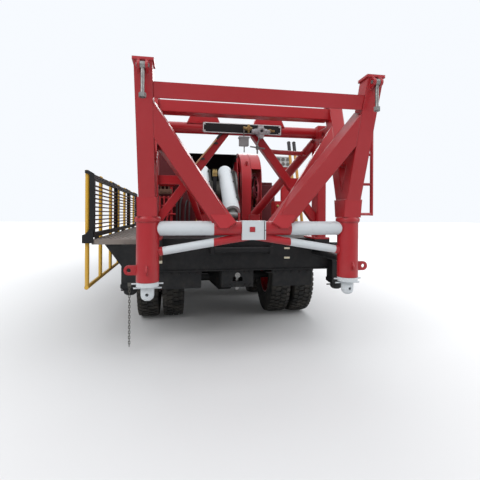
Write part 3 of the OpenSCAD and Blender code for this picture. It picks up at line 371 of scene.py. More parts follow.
class Shape:
    """A piece built up from blocks, turned profiles, tubes and flat outlines, in truck metres."""

    def __init__(self):
        self.mesh = bmesh.new()

    def ring(self, points):
        return [self.mesh.verts.new(point) for point in points]

    def join(self, a, b):
        """Quads, or triangles at a point, between two rings."""
        for i in range(max(len(a), len(b))):
            ring = (a[i % len(a)], a[(i + 1) % len(a)], b[(i + 1) % len(b)], b[i % len(b)])
            corners = list(dict.fromkeys(ring))
            if len(corners) > 2:
                self.mesh.faces.new(corners)

    def skin(self, rings, closed=False):
        """Faces from ring to ring, closed on themselves or with flat ends."""
        for a, b in zip(rings, rings[1:]):
            self.join(a, b)
        if closed:
            self.join(rings[-1], rings[0])
        else:
            for ring in (rings[0], rings[-1]):
                if len(ring) > 2:
                    self.mesh.faces.new(ring)
        return self

    def block(self, low, high, edge=0.002):
        """Box with small chamfers, as wide as edge."""
        low, high = Vector(low), Vector(high)
        corners = bmesh.ops.create_cube(self.mesh, size=1)["verts"]
        for corner in corners:
            corner.co = low + Vector((c + 0.5) * s for c, s in zip(corner.co, high - low))
        edges = list(dict.fromkeys(e for corner in corners for e in corner.link_edges))
        bmesh.ops.bevel(self.mesh, geom=edges, offset=edge, segments=1, affect="EDGES")
        return self

    def turned(self, start, axis, profile, sides=32, hollow=False):
        """Solid of revolution from rows of (distance along the axis, radius)."""
        turn = Z.rotation_difference(Vector(axis).normalized()).to_matrix()
        rings = []
        for along, radius in profile:
            points = circle(radius, sides if radius else 1)
            rings.append(self.ring(Vector(start) + turn @ Vector((c, s, along)) for c, s in points))
        return self.skin(rings, hollow)

    def tube(self, points, radius, sides=12, closed=False):
        """Round bar or pipe along a row of points."""
        points = [Vector(p) for p in points]
        count = len(points)
        rings = []
        side = None
        for i, point in enumerate(points):
            if closed:
                way = points[(i + 1) % count] - points[i - 1]
            else:
                way = points[min(i + 1, count - 1)] - points[max(i - 1, 0)]
            way.normalize()
            side = way.orthogonal() if side is None else side - way * side.dot(way)
            side.normalize()
            up = way.cross(side)
            rings.append(self.ring(point + side * c + up * s for c, s in circle(radius, sides)))
        return self.skin(rings, closed)

    def hoop(self, centre, u, v, reach, radius, count=20):
        """Round bar bent to a circle in the plane of u and v; reach is the circle's radius."""
        points = [Vector(centre) + u * c + v * s for c, s in circle(reach, count)]
        return self.tube(points, radius, 8, closed=True)

    def swept(self, rings):
        """Closed run through a row of rings of points, with flat ends."""
        return self.skin([self.ring(ring) for ring in rings])

    def plate(self, outline, origin, u, v, depth):
        """Flat outline in the plane of u and v, as thick as the depth vector."""
        face = [Vector(origin) + u * a + v * b for a, b in outline]
        return self.swept([face, [corner + depth for corner in face]])

    def bolt(self, place, axis, size):
        """Hexagon head on its washer; size is the width over the flats."""
        washer, corner = size * 0.12, size * 0.577
        self.turned(place, axis, [(0, size * 0.75), (washer, size * 0.75)], 20)
        head = [(0, corner), (size * 0.5, corner), (size * 0.6, size * 0.46)]
        return self.turned(Vector(place) + Vector(axis).normalized() * washer, axis, head, 6)

    def bolts(self, places, axis, size):
        for place in places:
            self.bolt(place, axis, size)
        return self

    def done(self, name, look, body="chassis", crease=35):
        """Makes the piece and lets it ride on its body; sharper edges than crease stay sharp."""
        bmesh.ops.recalc_face_normals(self.mesh, faces=self.mesh.faces)
        for face in self.mesh.faces:
            face.smooth = True
        for edge in self.mesh.edges:
            edge.smooth = edge.is_manifold and edge.calc_face_angle(0) < math.radians(crease)
        self.mesh.transform(Matrix.Translation(ZERO))
        # Chamfers number points and faces another way in each run, so they are sorted here
        for items, where in ((self.mesh.verts, lambda vert: tuple(vert.co)),
                             (self.mesh.faces, lambda face: tuple(face.calc_center_median()))):
            rank = {item: k for k, item in enumerate(sorted(items, key=where))}
            items.sort(key=rank.get)
        data = bpy.data.meshes.new(name)
        self.mesh.to_mesh(data)
        self.mesh.free()
        data.materials.append(MATERIALS[look])
        piece = bpy.data.objects.new(name, data)
        bpy.context.collection.objects.link(piece)
        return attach(piece, body)


# Second bracket: blank plate, air valve, pipes, strip and tie

def blank_plate():
    """Plate without letters on the top tube, with a pale border."""
    x0, x1, z0, z1 = -0.43, 0.47, 2.417, 2.53
    front, back, strip = TUBE_FACE - 0.016, TUBE_FACE - 0.008, 0.009
    plate = Shape().block((x0, front, z0), (x1, back, z1))
    for x in (-0.3, 0.34):
        plate.block((x - 0.03, back, TUBE_Z - 0.02), (x + 0.03, TUBE_FACE + 0.004, TUBE_Z + 0.02))
    plate.done("blank_plate", "black")
    border = Shape()
    for a0, a1, b0, b1 in ((x0, x1, z0, z0 + strip), (x0, x1, z1 - strip, z1),
                           (x0, x0 + strip, z0, z1), (x1 - strip, x1, z0, z1)):
        border.block((a0, front - 0.003, b0), (a1, front + 0.001, b1), 0.001)
    border.bolts(product((x0 + 0.02, x1 - 0.02), (front,), (z0 + 0.02, z1 - 0.02)), -Y, 0.012)
    border.done("plate_border", "panel")


def air_valve():
    """A cast body with a bored nose, a bonnet and two side ports."""
    nose = [(0, 0.03), (0.012, 0.044), (0.05, 0.046), (0.062, 0.036), (0.084, 0.033),
            (0.09, 0.028), (0.09, 0.014), (0.06, 0.013), (0.06, 0)]
    bonnet = [(0, 0.018), (0.006, 0.026), (0.03, 0.026), (0.036, 0.034), (0.092, 0.034),
              (0.098, 0.027), (0.116, 0.027), (0.122, 0.016)]
    ports = [(0, 0.015), (0.004, 0.02), (0.026, 0.02), (0.03, 0.026), (0.14, 0.026),
             (0.144, 0.02), (0.166, 0.02), (0.17, 0.015)]
    heart = VALVE_AT
    valve = Shape()
    valve.turned(heart + Y * 0.05, -Y, nose, 28)
    valve.turned(heart - Z * 0.062, Z, bonnet, 28)
    valve.turned(heart - X * 0.085, X, ports, 24)
    valve.bolts([heart + Vector((c, -0.012, s)) for c, s in circle(0.036, 6, 0.5)], -Y, 0.01)
    valve.block((heart.x - 0.03, TUBE_FACE - 0.03, heart.z - 0.02),
                (heart.x + 0.03, TUBE_FACE - 0.012, heart.z + 0.04))
    # Black disc just inside the bored nose: painted shade deep in the bore
    bore = Shape()
    bore.turned(heart - Y * 0.034, -Y, [(0, 0.0125), (0.004, 0.0125), (0.0065, 0.0105)], 20)
    to_zero, scale = Matrix.Translation(-heart), Matrix.Scale(1.25, 4)
    larger = Matrix.Translation(heart + Vector((0.016, 0, -0.01))) @ scale @ to_zero
    for shape in (valve, bore):
        shape.mesh.transform(larger)
    valve.done("air_valve", "casting")
    bore.done("valve_bore_painted_shade", "grip")


def valve_fittings():
    """Brass unions, and the grey box, pipes and cock with its T handle."""
    y = VALVE_AT.y
    brass = Shape()
    for x0, x1, r, sides in ((0.018, 0.042, 0.017, 6), (0.042, 0.064, 0.011, 18),
                             (0.064, 0.1, 0.021, 6), (0.1, 0.119, 0.013, 18)):
        end = x1 - x0
        union = [(0, r * 0.9), (0.003, r), (end - 0.003, r), (end, r * 0.9)]
        brass.turned((x0, y, 2.472), X, union, sides)
    brass.turned((0.08, y, 2.425), Z, [(0, 0.012), (0.02, 0.012), (0.022, 0.018), (0.07, 0.018),
                                       (0.074, 0.013), (0.088, 0.013)], 18)
    brass.block((0.05, y, 2.455), (0.11, TUBE_FACE - 0.012, 2.487))
    brass.turned((0.29, y, 2.452), X, [(0, 0.015), (0.018, 0.015), (0.02, 0.02), (0.05, 0.02),
                                       (0.052, 0.012), (0.09, 0.012)], 6)
    brass.done("brass_fittings", "brass")
    box = Shape().block((-0.028, y - 0.028, 2.268), (0.078, y + 0.03, 2.366), 0.005)
    box.block((-0.036, y - 0.034, 2.352), (0.086, y + 0.036, 2.372), 0.003)
    box.bolts(product((-0.012, 0.062), (y - 0.028,), (2.284, 2.334)), -Y, 0.009)
    box.done("junction_box", "grey")
    pipes = Shape()
    pipes.tube(bend([(0.025, y, 2.365), (0.025, y, 2.42), (0.03, y, 2.468)]), 0.007)
    pipes.tube([(0.03, y, 2.27), (0.03, y, 2.2)], 0.006)
    pipes.tube(bend([(0.204, y, 2.39), (0.2, y, 2.35), (0.185, y + 0.01, 2.31)]), 0.008)
    pipes.tube([(0.1, y + 0.01, 2.268), (0.27, y + 0.01, 2.25)], 0.008)
    pipes.tube([(0.183, y + 0.01, 2.315), (0.183, y + 0.01, 2.19)], 0.009)
    nut = [(0, 0.014), (0.004, 0.018), (0.04, 0.018), (0.044, 0.014)]
    pipes.turned((0.183, y + 0.01, 2.235), Z, nut, 6)
    pipes.done("valve_pipes", "steel")


def brace_details():
    """Strip clipped along the left brace, and the tie from the right brace to its raking stay."""
    top, foot = Vector((-0.262, 0.69, 2.365)), Vector((-0.507, 0.69, 2.065))
    Shape().tube([top, foot], 0.008, 8).done("brace_strip", "tan")
    end_cap = [(0, 0.01), (0.004, 0.013), (0.09, 0.013), (0.094, 0.01)]
    clips = Shape().turned(top + (top - foot) * 0.2, foot - top, end_cap, 12)
    for share in (0.2, 0.8):
        spot = top.lerp(foot, share)
        clips.block(spot + Vector((-0.004, -0.004, -0.012)), spot + Vector((0.05, 0.016, 0.008)))
    clips.done("strip_clips", "grip")
    tie = Shape().tube([(0.33, 0.75, 2.24), (0.843, 0.878, 2.25)], 0.0275, 20)
    collar = [(-0.012, 0.027), (-0.006, 0.036), (0.004, 0.036), (0.014, 0.028)]
    for end, way in (((0.365, 0.759, 2.2407), X), ((0.79, 0.865, 2.249), -X)):
        tie.turned(end, way, collar, 20)
    tie.done("stay_tie", "red")


# Mast base

BEAD_REACH = 0.106                # from a leg's axis to the weld beads on it


def mast_base_details():
    """Plate and seam on the centre block, weld beads, and red sleeves on the lower tubes."""
    front = span("white_tubes")[0].y
    block = Shape().block((-0.043, front - 0.006, 1.338), (0.009, front + 0.002, 1.386), 0.003)
    block.bolts(product((-0.037, 0.003), (front - 0.006,), (1.362,)), -Y, 0.007)
    block.done("block_plate", "red")
    seam = Shape().block((0.094, front - 0.003, 1.268), (0.1, front + 0.002, 1.44), 0.001)
    seam.block((0.094, front - 0.003, 1.352), (0.112, front + 0.002, 1.358), 0.001)
    seam.done("block_seam", "black")
    beads = Shape()
    ends = Shape()
    for side in (-1, 1):
        leg = LEG_X * side
        # Height, radius and slope of the cross tube and of a lower tube, where they meet the leg
        for z, r, slope in ((1.371, 0.0665, 0), (1.143, 0.038, 0.163)):
            centre = Vector((leg, 0, z))
            way = Vector((-side, 0, slope)).normalized()
            up = way.cross(Y)
            bead = [centre + Y * c + up * s + way * math.sqrt(BEAD_REACH ** 2 - c * c)
                    for c, s in circle(r, 40)]
            beads.tube(bead, 0.0055, 8, closed=True)
            if slope:
                sleeve = [(0, r + 0.004), (0.022, r + 0.004), (0.046, r + 0.001)]
                ends.turned(centre + way * 0.09, way, sleeve, 32)
        # Bead round the top of the leg's tube, under the collar
        beads.hoop((leg, 0, 1.432), X, Y, 0.107, 0.005, 56)
    beads.done("weld_beads", "red")
    ends.done("tube_ends", "red")


# Levers and console

def console_details():
    """Ribbed grips on the brake levers, gauges and valve knobs on the console."""
    foot, top = Vector((0, 1.7, 1.227)), Vector((0, 2.16, 2.66))
    way = (top - foot).normalized()
    ribs = [(0.01 + 0.02 * k + d, r) for k in range(9) for d, r in ((0, 0.0255), (0.01, 0.028))]
    grip = [(0, 0.0235), (0.004, 0.027)] + ribs + [(0.196, 0.029), (0.206, 0.02), (0.208, 0)]
    grips = Shape()
    for x in (1.03, 1.115):
        grips.turned(Vector((x, top.y, top.z)) - way * 0.2, way, grip, 20)
    grips.done("lever_grips", "grip")
    face = span("console")[0].y
    bezel = [(0, 0.03), (0.006, 0.03), (0.009, 0.027), (0.006, 0.025), (0.003, 0.025), (0.003, 0)]
    cap = [(0, 0.004), (0.003, 0.004), (0.004, 0.002), (0.004, 0)]
    dials = Shape()
    marks = Shape()
    for x, z in product((0.9, 0.98, 1.06), (2.328, 2.402)):
        dials.turned((x, face + 0.001, z), -Y, bezel, 28)
        marks.turned((x, face - 0.003, z), -Y, cap, 12)
        # Each hand points its own way
        angle = 0.6 + x * 3 + z
        pivot = Vector((x, face - 0.004, z))
        hand = Vector((math.cos(angle), 0, math.sin(angle))) * 0.019
        marks.tube([pivot, pivot + hand], 0.0012, 6)
    dials.done("gauge_bezels", "steel")
    marks.done("gauge_hands", "grip")
    knob = [(0, 0.009), (0.03, 0.009), (0.032, 0.019), (0.05, 0.021), (0.056, 0.012), (0.056, 0)]
    knobs = Shape()
    for k in range(5):
        knobs.turned((0.87 + 0.055 * k, 2.25, 1.64), -Y, knob, 16)
    knobs.done("valve_knobs", "brass")


# Drum, its guard and hood, and the case beside it

def guard():
    """The drum guard, finer than its node, and the ring and web in its outer plate."""
    x0, x1 = GUARD_X
    y, z = BEND_AT
    turns = [math.pi * k / 32 for k in range(33)]
    # Cosine, sine and height of each step along the band, up one side and down the other
    way = [(-math.cos(v), math.sin(v), z) for v in turns]
    way = [(-1, 0, GUARD_FOOT)] + way + [(1, 0, GUARD_FOOT)]
    top = way[5:-6]
    # Band, inner flange, outer flange and top cover: x from and to, inner radius, steps
    parts = ((x0, x1, GUARD_R - 0.01, way), (x0, x0 + 0.008, GUARD_R - 0.13, way),
             (x1 - 0.008, x1, GUARD_R - 0.03, way),
             (x1 - 0.002, PLATE_X + 0.002, GUARD_R - 0.01, top))
    shape = Shape()
    for left, right, inner, part in parts:
        corners = ((left, GUARD_R), (right, GUARD_R), (right, inner), (left, inner))
        shape.swept([[Vector((x, y + c * r, level + s * r)) for x, r in corners]
                     for c, s, level in part])
    arch = [(c * GUARD_R, level + s * GUARD_R) for c, s, level in way]
    shape.plate(arch, (PLATE_X, y, 0), Y, Z, X * 0.008)
    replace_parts(shape.done("drum_guard_band", "red"), "drum_guard")
    ring = [(0, 0.318), (0, 0.366), (0.004, 0.37), (0.018, 0.37), (0.018, 0.314), (0.004, 0.314)]
    rim = Shape().turned((RING_X, *DRUM_AT), X, ring, 72, hollow=True)
    # The ring is painted pink: a painted highlight on its rim
    rim.done("guard_ring", "faded_and_highlight")
    disc = [(0, 0.315), (0.003, 0.315), (0.003, 0.2), (0.006, 0.196), (0.006, 0)]
    web = Shape().turned((PLATE_X, *DRUM_AT), -X, disc, 48)
    # The web is dark red as painted shade inside the ring
    web.done("ring_web", "painted_shade_red")


def guard_details():
    """Studs and spokes on the ring, the shaft's cap, and a lifting eye on the guard."""
    hub = Vector((RING_X, *DRUM_AT))
    studs = Shape().bolts([hub + Y * c + Z * s for c, s in circle(0.342, 16, 0.1)], -X, 0.03)
    cap = [(0, 0.13), (0.012, 0.13), (0.02, 0.12), (0.032, 0.095), (0.05, 0.09)]
    studs.turned(hub + X * 0.014, -X, cap, 40)
    for c, s in circle(1, 4, 0.4):
        spoke = Y * c + Z * s
        studs.tube([hub + spoke * 0.11, hub + spoke * 0.29], 0.014, 12)
    # Studs, spokes and cap share the ring's pink painted highlight
    studs.done("ring_studs", "faded_and_highlight")
    angle = math.radians(146)
    out = Vector((0, math.cos(angle), math.sin(angle)))
    along = out.cross(X)
    base = Vector((0.53, *BEND_AT)) + out * (GUARD_R - 0.002)
    outline = [(-0.05, -0.01), (0.05, -0.01)] + [(c, 0.04 + s) for c, s in circle(0.032, 16)[:9]]
    eye = Shape().plate(outline, base - X * 0.008, along, out, X * 0.016)
    eye.hoop(base + out * 0.04, along * 0.8, X, 0.03, 0.006)
    eye.done("guard_lifting_eye", "red")


def drive_case():
    """Ribbed case beside the drawworks, with its cover and breather."""
    case = Shape().block((0.83, 3.3, DECK_Z), (1.12, 3.86, 2.06), 0.012)
    case.block((0.86, 3.286, 1.3), (1.09, 3.302, 1.98), 0.004)
    for z in (1.34, 1.64, 1.94):
        case.bolts(((x, 3.286, z) for x in (0.88, 1.07)), -Y, 0.016)
    for y in (3.42, 3.58, 3.74):
        case.block((1.118, y - 0.008, 1.25), (1.138, y + 0.008, 2.03), 0.003)
    case.block((0.87, 3.36, 2.058), (1.08, 3.62, 2.12), 0.008)
    breather = [(0, 0.022), (0.05, 0.022), (0.052, 0.034), (0.08, 0.034), (0.088, 0.02)]
    case.turned((0.95, 3.74, 2.056), Z, breather, 24)
    # The case is dark red as painted shade
    case.done("drive_case", "painted_shade_red")


def drum_details():
    """Wire rope wound on the drum in even turns, and bolts round the hood's edges."""
    start, stop, turn = -0.62, 0.335, 0.026
    count = int((stop - start) / turn)
    strand = ((0, 0.1905), (0.25, 0.2), (0.5, 0.203), (0.75, 0.2))
    rows = [((k + share) * turn, radius) for k in range(count) for share, radius in strand]
    profile = [(0, 0.185)] + rows + [(count * turn, 0.185)]
    rope = Shape().turned((start, *DRUM_AT), X, profile, 48, hollow=True)
    rope.done("wound_rope", "wire", "drum")
    y, z = BEND_AT
    hood = Shape()
    for angle in (math.radians(-14 + 14 * k) for k in range(9)):
        spot = (y + math.cos(angle) * 0.5, z + math.sin(angle) * 0.5)
        hood.bolts(((x, *spot) for x in (-0.675, 0.395)), -X, 0.018)
    hood.done("hood_bolts", "steel")


# Raising rams

def ram_details():
    """Two hydraulic lines on saddles along each barrel."""
    lean = math.radians(37.5)
    way = Vector((0, math.cos(lean), math.sin(lean)))
    over = Vector((0, -way.z, way.y))
    outs = [X * math.cos(angle) + over * math.sin(angle) for angle in (0.45, 0.75)]
    nut = [(0, 0.012), (0.004, 0.016), (0.034, 0.016), (0.04, 0.011)]
    lines = Shape()
    for x in (-0.3, 0.095):
        foot = Vector((0, 1.88, 1.48)) + X * x
        for out, length in zip(outs, (0.9, 0.84)):
            start = foot + way * 0.3 + out * 0.139
            lines.tube([start, start + way * length], 0.0095, 12)
            lines.turned(start + way * (length - 0.03), way, nut, 6)
        for along, out in product((0.36, 0.8, 1.1), outs):
            saddle = foot + way * along + out * 0.118
            lines.turned(saddle, out, [(0, 0.012), (0.03, 0.012), (0.032, 0.008)], 10)
    lines.done("ram_lines", "hose", "ram_barrels")


def valve_post():
    """Post between the rams, with a brass valve block on it."""
    post = Shape().block((-0.137, 2.57, DECK_Z), (-0.077, 2.63, 2.13), 0.004)
    post.block((-0.167, 2.54, DECK_Z), (-0.047, 2.66, DECK_Z + 0.012), 0.003)
    post.done("valve_post", "black")
    block = Shape().block((-0.145, 2.56, 2.13), (-0.069, 2.64, 2.225), 0.004)
    for x in (-0.132, -0.107, -0.082):
        plug = [(0, 0.011), (0.012, 0.011), (0.014, 0.008), (0.03, 0.008)]
        block.turned((x, 2.56, 2.18), -Y, plug, 6)
        screw = [(0, 0.01), (0.014, 0.01), (0.016, 0.006), (0.03, 0.006)]
        block.turned((x, 2.6, 2.225), Z, screw, 6)
    block.done("valve_block", "brass")


# Rear beam and outrigger

def rear_details():
    """Reflectors, edge strip, tow pin and bolts."""
    back = BEAM_BACK
    pale = Shape()
    for z in (0.98, 1.095):
        pale.block((0.57, back - 0.008, z - 0.011), (0.638, back + 0.002, z + 0.011), 0.002)
    pale.block((-0.92, back - 0.01, 0.935), (-0.874, back + 0.002, 0.968), 0.002)
    pale.done("reflectors", "pale")
    strip = Shape().block((-0.92, back - 0.008, 0.97), (-0.874, back + 0.002, 1.2), 0.002)
    strip.bolts(product((-0.897,), (back - 0.008,), (0.985, 1.185)), -Y, 0.01)
    strip.done("edge_strip", "rust")
    shank = [(0, 0.012), (0.008, 0.0235), (0.25, 0.0235), (0.25, 0.04), (0.27, 0.042),
             (0.276, 0.036)]
    pin = Shape().turned((0, back + 0.06, 0.6), Z, shank, 24)
    pin.hoop((0, back + 0.06, 0.91), X, Z, 0.035, 0.006)
    button = [(0, 0.03), (0.006, 0.032), (0.012, 0.024), (0.016, 0)]
    pin.turned((0, back + 0.002, 0.78), -Y, button, 24)
    pin.done("tow_pin", "steel")
    bolts = Shape()
    for x in (0.47 + 0.1 * k for k in range(5)):
        bolts.bolts(((side * x, back, 0.808) for side in (-1, 1)), -Y, 0.022)
    bolts.bolts(product((-0.15, -0.09, 0.09, 0.15), (back,), (0.66, 0.82)), -Y, 0.022)
    bolts.done("rear_bolts", "black")


def ground_chain():
    """Chain from the left outrigger's housing down to the ground."""
    top = Vector((-1.217, span("outrigger_housings")[0].y - 0.001, 0.7))
    wire, half, pitch = 0.0035, 0.009, 0.028
    chain = Shape()
    for k in range(int((top.z - 0.03) / pitch)):
        centre = top - Z * (pitch * (k + 0.5))
        across = X if k % 2 else Y
        link = [centre + across * c + Z * (s + math.copysign(half, s))
                for c, s in circle(half, 14, 0.22)]
        chain.tube(link, wire, 6, closed=True)
    chain.hoop(top, X, Z, 0.014, 0.004, 16)
    chain.block(top + Vector((-0.02, -0.002, 0.012)), top + Vector((0.02, 0.006, 0.05)))
    chain.done("ground_chain", "wire")


# Deck fittings behind the left leg

STAND_X = (-1.06, -0.78)
STAND_Y = 1.95


def pipe_stand():
    """Air receiver, valve bank and pipes, on a stand."""
    x0, x1 = STAND_X
    y = STAND_Y
    stand = Shape()
    for x in (x0 + 0.02, x1 - 0.02):
        stand.block((x - 0.018, y - 0.018, DECK_Z), (x + 0.018, y + 0.018, 1.9), 0.003)
        stand.block((x - 0.04, y - 0.04, DECK_Z), (x + 0.04, y + 0.04, DECK_Z + 0.009), 0.002)
    for z in (1.5, 1.62, 1.74):
        stand.tube([(x0, y - 0.03, z), (x1 + 0.04, y - 0.03, z)], 0.014, 12)
    front = y - 0.055
    for x in (-0.98, -0.92, -0.86):
        run = [(x, front, 1.226), (x, front, 1.4), (x + 0.02, front, 1.55), (x + 0.02, front, 1.76)]
        stand.tube(bend(run), 0.012, 12)
    stand.done("pipe_stand", "red")
    shell = [(0, 0), (0.004, 0.03), (0.016, 0.052), (0.03, 0.06), (0.31, 0.06), (0.324, 0.052),
             (0.336, 0.03), (0.34, 0)]
    tank = Shape().turned((x0 - 0.02, y, 1.96), X, shell, 36)
    strap = [(0, 0.059), (0, 0.064), (0.024, 0.064), (0.024, 0.059)]
    for x in (x0 + 0.05, x1 - 0.05):
        tank.turned((x - 0.012, y, 1.96), X, strap, 36, hollow=True)
    tank.done("air_receiver", "red")
    bank = Shape().block((x0 + 0.03, y - 0.09, 1.79), (x1 - 0.01, y - 0.02, 1.855), 0.004)
    for x in (x0 + 0.06 + 0.055 * k for k in range(4)):
        stem = [(0, 0.012), (0.012, 0.012), (0.014, 0.007), (0.05, 0.006)]
        bank.turned((x, front, 1.855), Z, stem, 6)
        plug = [(0, 0.013), (0.012, 0.013), (0.014, 0.009), (0.03, 0.009)]
        bank.turned((x, y - 0.09, 1.822), -Y, plug, 6)
    bank.done("valve_bank", "rust")


def deck_shield():
    """Shield behind the pipes, dark red as painted shade, and the stay from the bracket's left
    brace to the deck.
    """
    y = STAND_Y + 0.075
    outline = [(-1.08, 1.22), (-0.44, 1.22), (-0.44, 1.86), (-0.6, 1.94), (-0.6, 2.4),
               (-0.64, 2.44), (-1.04, 2.44), (-1.08, 2.4)]
    shield = Shape().plate(outline, (0, y, 0), X, Z, Y * 0.006)
    for x in (-1.06, -0.62):
        shield.block((x - 0.015, y + 0.006, DECK_Z), (x + 0.015, y + 0.036, 2.38), 0.002)
        shield.bolts(product((x,), (y,), (1.3, 1.65, 2.0, 2.35)), -Y, 0.016)
    for z in (1.45, 1.88):
        shield.block((-1.05, y + 0.006, z), (-0.63, y + 0.032, z + 0.03), 0.002)
    # Dark red here is painted shade behind the pipes
    shield.done("deck_shield", "painted_shade_red")
    flange = [(0, 0.018), (0.02, 0.018), (0.024, 0.014), (0.04, 0.014)]
    pipes = Shape()
    for x, z in ((-0.72, 1.76), (-0.675, 1.7), (-0.6, 1.66), (-0.54, 1.72)):
        run = [(x, y - 0.035, 1.22), (x, y - 0.04, z - 0.12), (x + 0.012, y - 0.03, z),
               (x + 0.03, y + 0.003, z + 0.05)]
        pipes.tube(bend(run), 0.011, 10)
        pipes.turned((x, y - 0.035, DECK_Z), Z, flange, 6)
    pipes.done("deck_pipes", "grip")
    top, foot = Vector((-0.585, 0.8, 1.81)), Vector((-0.345, 1.53, 1.222))
    stay = Shape().tube([top, foot], 0.038, 24)
    stay.block(foot + Vector((-0.07, -0.07, -0.008)), foot + Vector((0.07, 0.07, 0.006)), 0.002)
    corners = product((-0.05, 0.05), (-0.05, 0.05), (0.006,))
    stay.bolts((foot + Vector(corner) for corner in corners), Z, 0.018)
    stay.done("left_stay", "red")


# Wheels

TYRE_W = 0.15                     # half width
TYRE_PITCH = 0.344                # between the two tyres of a twin wheel
TREAD_DEPTH = 0.018
TREAD_COUNT = 46                  # blocks round a tyre in each row
# Rows of blocks: x from and to, start and end as shares of a step, drop of the outer edge
TREAD_ROWS = ((0.084, 0.138, 0.0, 0.66, 0.016), (0.006, 0.074, 0.2, 0.84, 0.0))
# Inner half of a tyre's side, as pairs of x and radius
BEAD_SIDE = [(0.125, 0.27), (0.135, 0.29), (0.146, 0.33), (0.146, 0.345), (0.1485, 0.347),
             (0.1485, 0.36), (0.1465, 0.362)]
NUT_CIRCLE = 0.15                 # radius of the ring of wheel nuts
HUB_CIRCLE = 0.094                # radius of the ring of small bolts on the hub
# A wheel's tyre node, body and nuts, and how far out its nuts sit
WHEELS = (("tyre_front_", "wheel_front_", "nuts_front_", 1.202),
          ("tyres_mid_", "wheels_mid_", "nuts_mid_", 0.949),
          ("tyres_rear_", "wheels_rear_", "nuts_rear_", 0.949))


def tread_block(shape, centre, radius, xs, angles, drop):
    """One raised block; drop lowers its outer edge, down the shoulder."""
    corners = []
    for depth in (TREAD_DEPTH + 0.002, 0.0):
        for x, low, skew in ((xs[0], 0.0, 0.0), (xs[1], drop, 0.02)):
            r = radius - depth - low
            for angle in (angles[0] + skew, angles[1] + skew):
                corners.append(centre + Vector((x, r * math.cos(angle), r * math.sin(angle))))
    corners = shape.ring(corners)
    for face in ((4, 5, 7, 6), (0, 1, 5, 4), (2, 3, 7, 6), (0, 2, 6, 4), (1, 3, 7, 5)):
        shape.mesh.faces.new([corners[i] for i in face])


def tyres(node, body):
    """The tyres of one wheel, in the place of their CAD node."""
    low, high = span(node)
    radius = (high.z - low.z) / 2 - 0.0005
    count = 1 + round((high.x - low.x - 2 * TYRE_W) / TYRE_PITCH)
    base = radius - TREAD_DEPTH
    side = BEAD_SIDE + [(0.15, radius - 0.15), (0.1485, radius - 0.09), (0.146, radius - 0.088),
                        (0.144, radius - 0.06), (0.139, radius - 0.045), (0.128, base - 0.006),
                        (0.1, base)]
    profile = [(-x, r) for x, r in side] + [(x, r) for x, r in reversed(side)]
    step = 2 * math.pi / TREAD_COUNT
    shape = Shape()
    for k in range(count):
        centre = (low + high) / 2
        centre.x = low.x + TYRE_W + k * TYRE_PITCH
        shape.turned(centre, X, profile, 72, hollow=True)
        for i in range(TREAD_COUNT):
            for sign, shift in ((-1, 0.0), (1, 0.5)):
                for x0, x1, start, end, drop in TREAD_ROWS:
                    angles = ((i + shift + start) * step, (i + shift + end) * step)
                    tread_block(shape, centre, radius, (sign * x0, sign * x1), angles, drop)
    piece = shape.done(node + "_treaded", "tyre", body, 30)
    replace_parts(piece, node)


def wheel_nuts(name, face_x, y, z, body):
    """Ten wheel nuts on their studs, and ten small bolts round the hub."""
    out = X if face_x > 0 else -X
    nut = [(0, 0.024), (0.003, 0.024), (0.004, 0.0185), (0.024, 0.0185), (0.03, 0.011),
           (0.04, 0.011), (0.042, 0.008)]
    nuts = Shape()
    for c, s in circle(NUT_CIRCLE, 10, 0.2):
        nuts.turned((face_x, y + c, z + s), out, nut, 6)
    hub = [(face_x, y + c, z + s) for c, s in circle(HUB_CIRCLE, 10, 0.35)]
    nuts.bolts(hub, out, 0.012)
    nuts.done(name, "steel", body)


def wheels():
    """All tyres, and the nuts of each wheel on its own axle."""
    axle_z = (middle("tyre_front_left") - ZERO).z
    for side, sign in SIDES:
        for node, body, nuts, face_x in WHEELS:
            tyres(node + side, body + side)
            axle_y = (middle(node + side) - ZERO).y
            wheel_nuts(nuts + side, sign * face_x, axle_y, axle_z, body + side)


# Walkway

PANEL_BAYS = ((0.868, 2.268), (2.332, 3.598), (3.662, 4.816))


def walkway_details():
    """Brown bars over the panel's own grating, and the platform's mat with raised marks."""
    bars = Shape()
    for y0, y1 in PANEL_BAYS:
        for z in (1.33 + 0.048 * k for k in range(11)):
            bars.block((-1.6405, y0, z - 0.0005), (-1.6195, y1, z + 0.0145), 0.001)
    bars.done("grating_bars", "rust", "walkway")
    mat = Shape().block((-1.6305, 0.806, 1.2165), (-1.16, 4.88, 1.2185), 0.0005)
    mat.done("platform_mat", "deck")
    treads = Shape()
    for row, column in product(range(42), range(8)):
        x = -1.6 + 0.054 * column + (0.027 if row % 2 else 0)
        y = 0.86 + 0.096 * row
        turn = 0.6 if (row + column) % 2 else -0.6
        c, s = math.cos(turn) * 0.017, math.sin(turn) * 0.017
        treads.tube([(x - c, y - s, 1.2185), (x, y, 1.2205), (x + c, y + s, 1.2185)], 0.0025, 4)
    treads.done("platform_treads", "deck")


# Cab

SCREEN_Y = 9.6                    # the front's outer face at the screen's foot
SCREEN_Z = 1.95                   # height of that foot
SCREEN_LEAN = 0.2 / 0.94          # how far the screen leans back on its way up


def screen_y(z):
    """Outer face of the cab's front at a height over the grille."""
    return SCREEN_Y - SCREEN_LEAN * (z - SCREEN_Z)


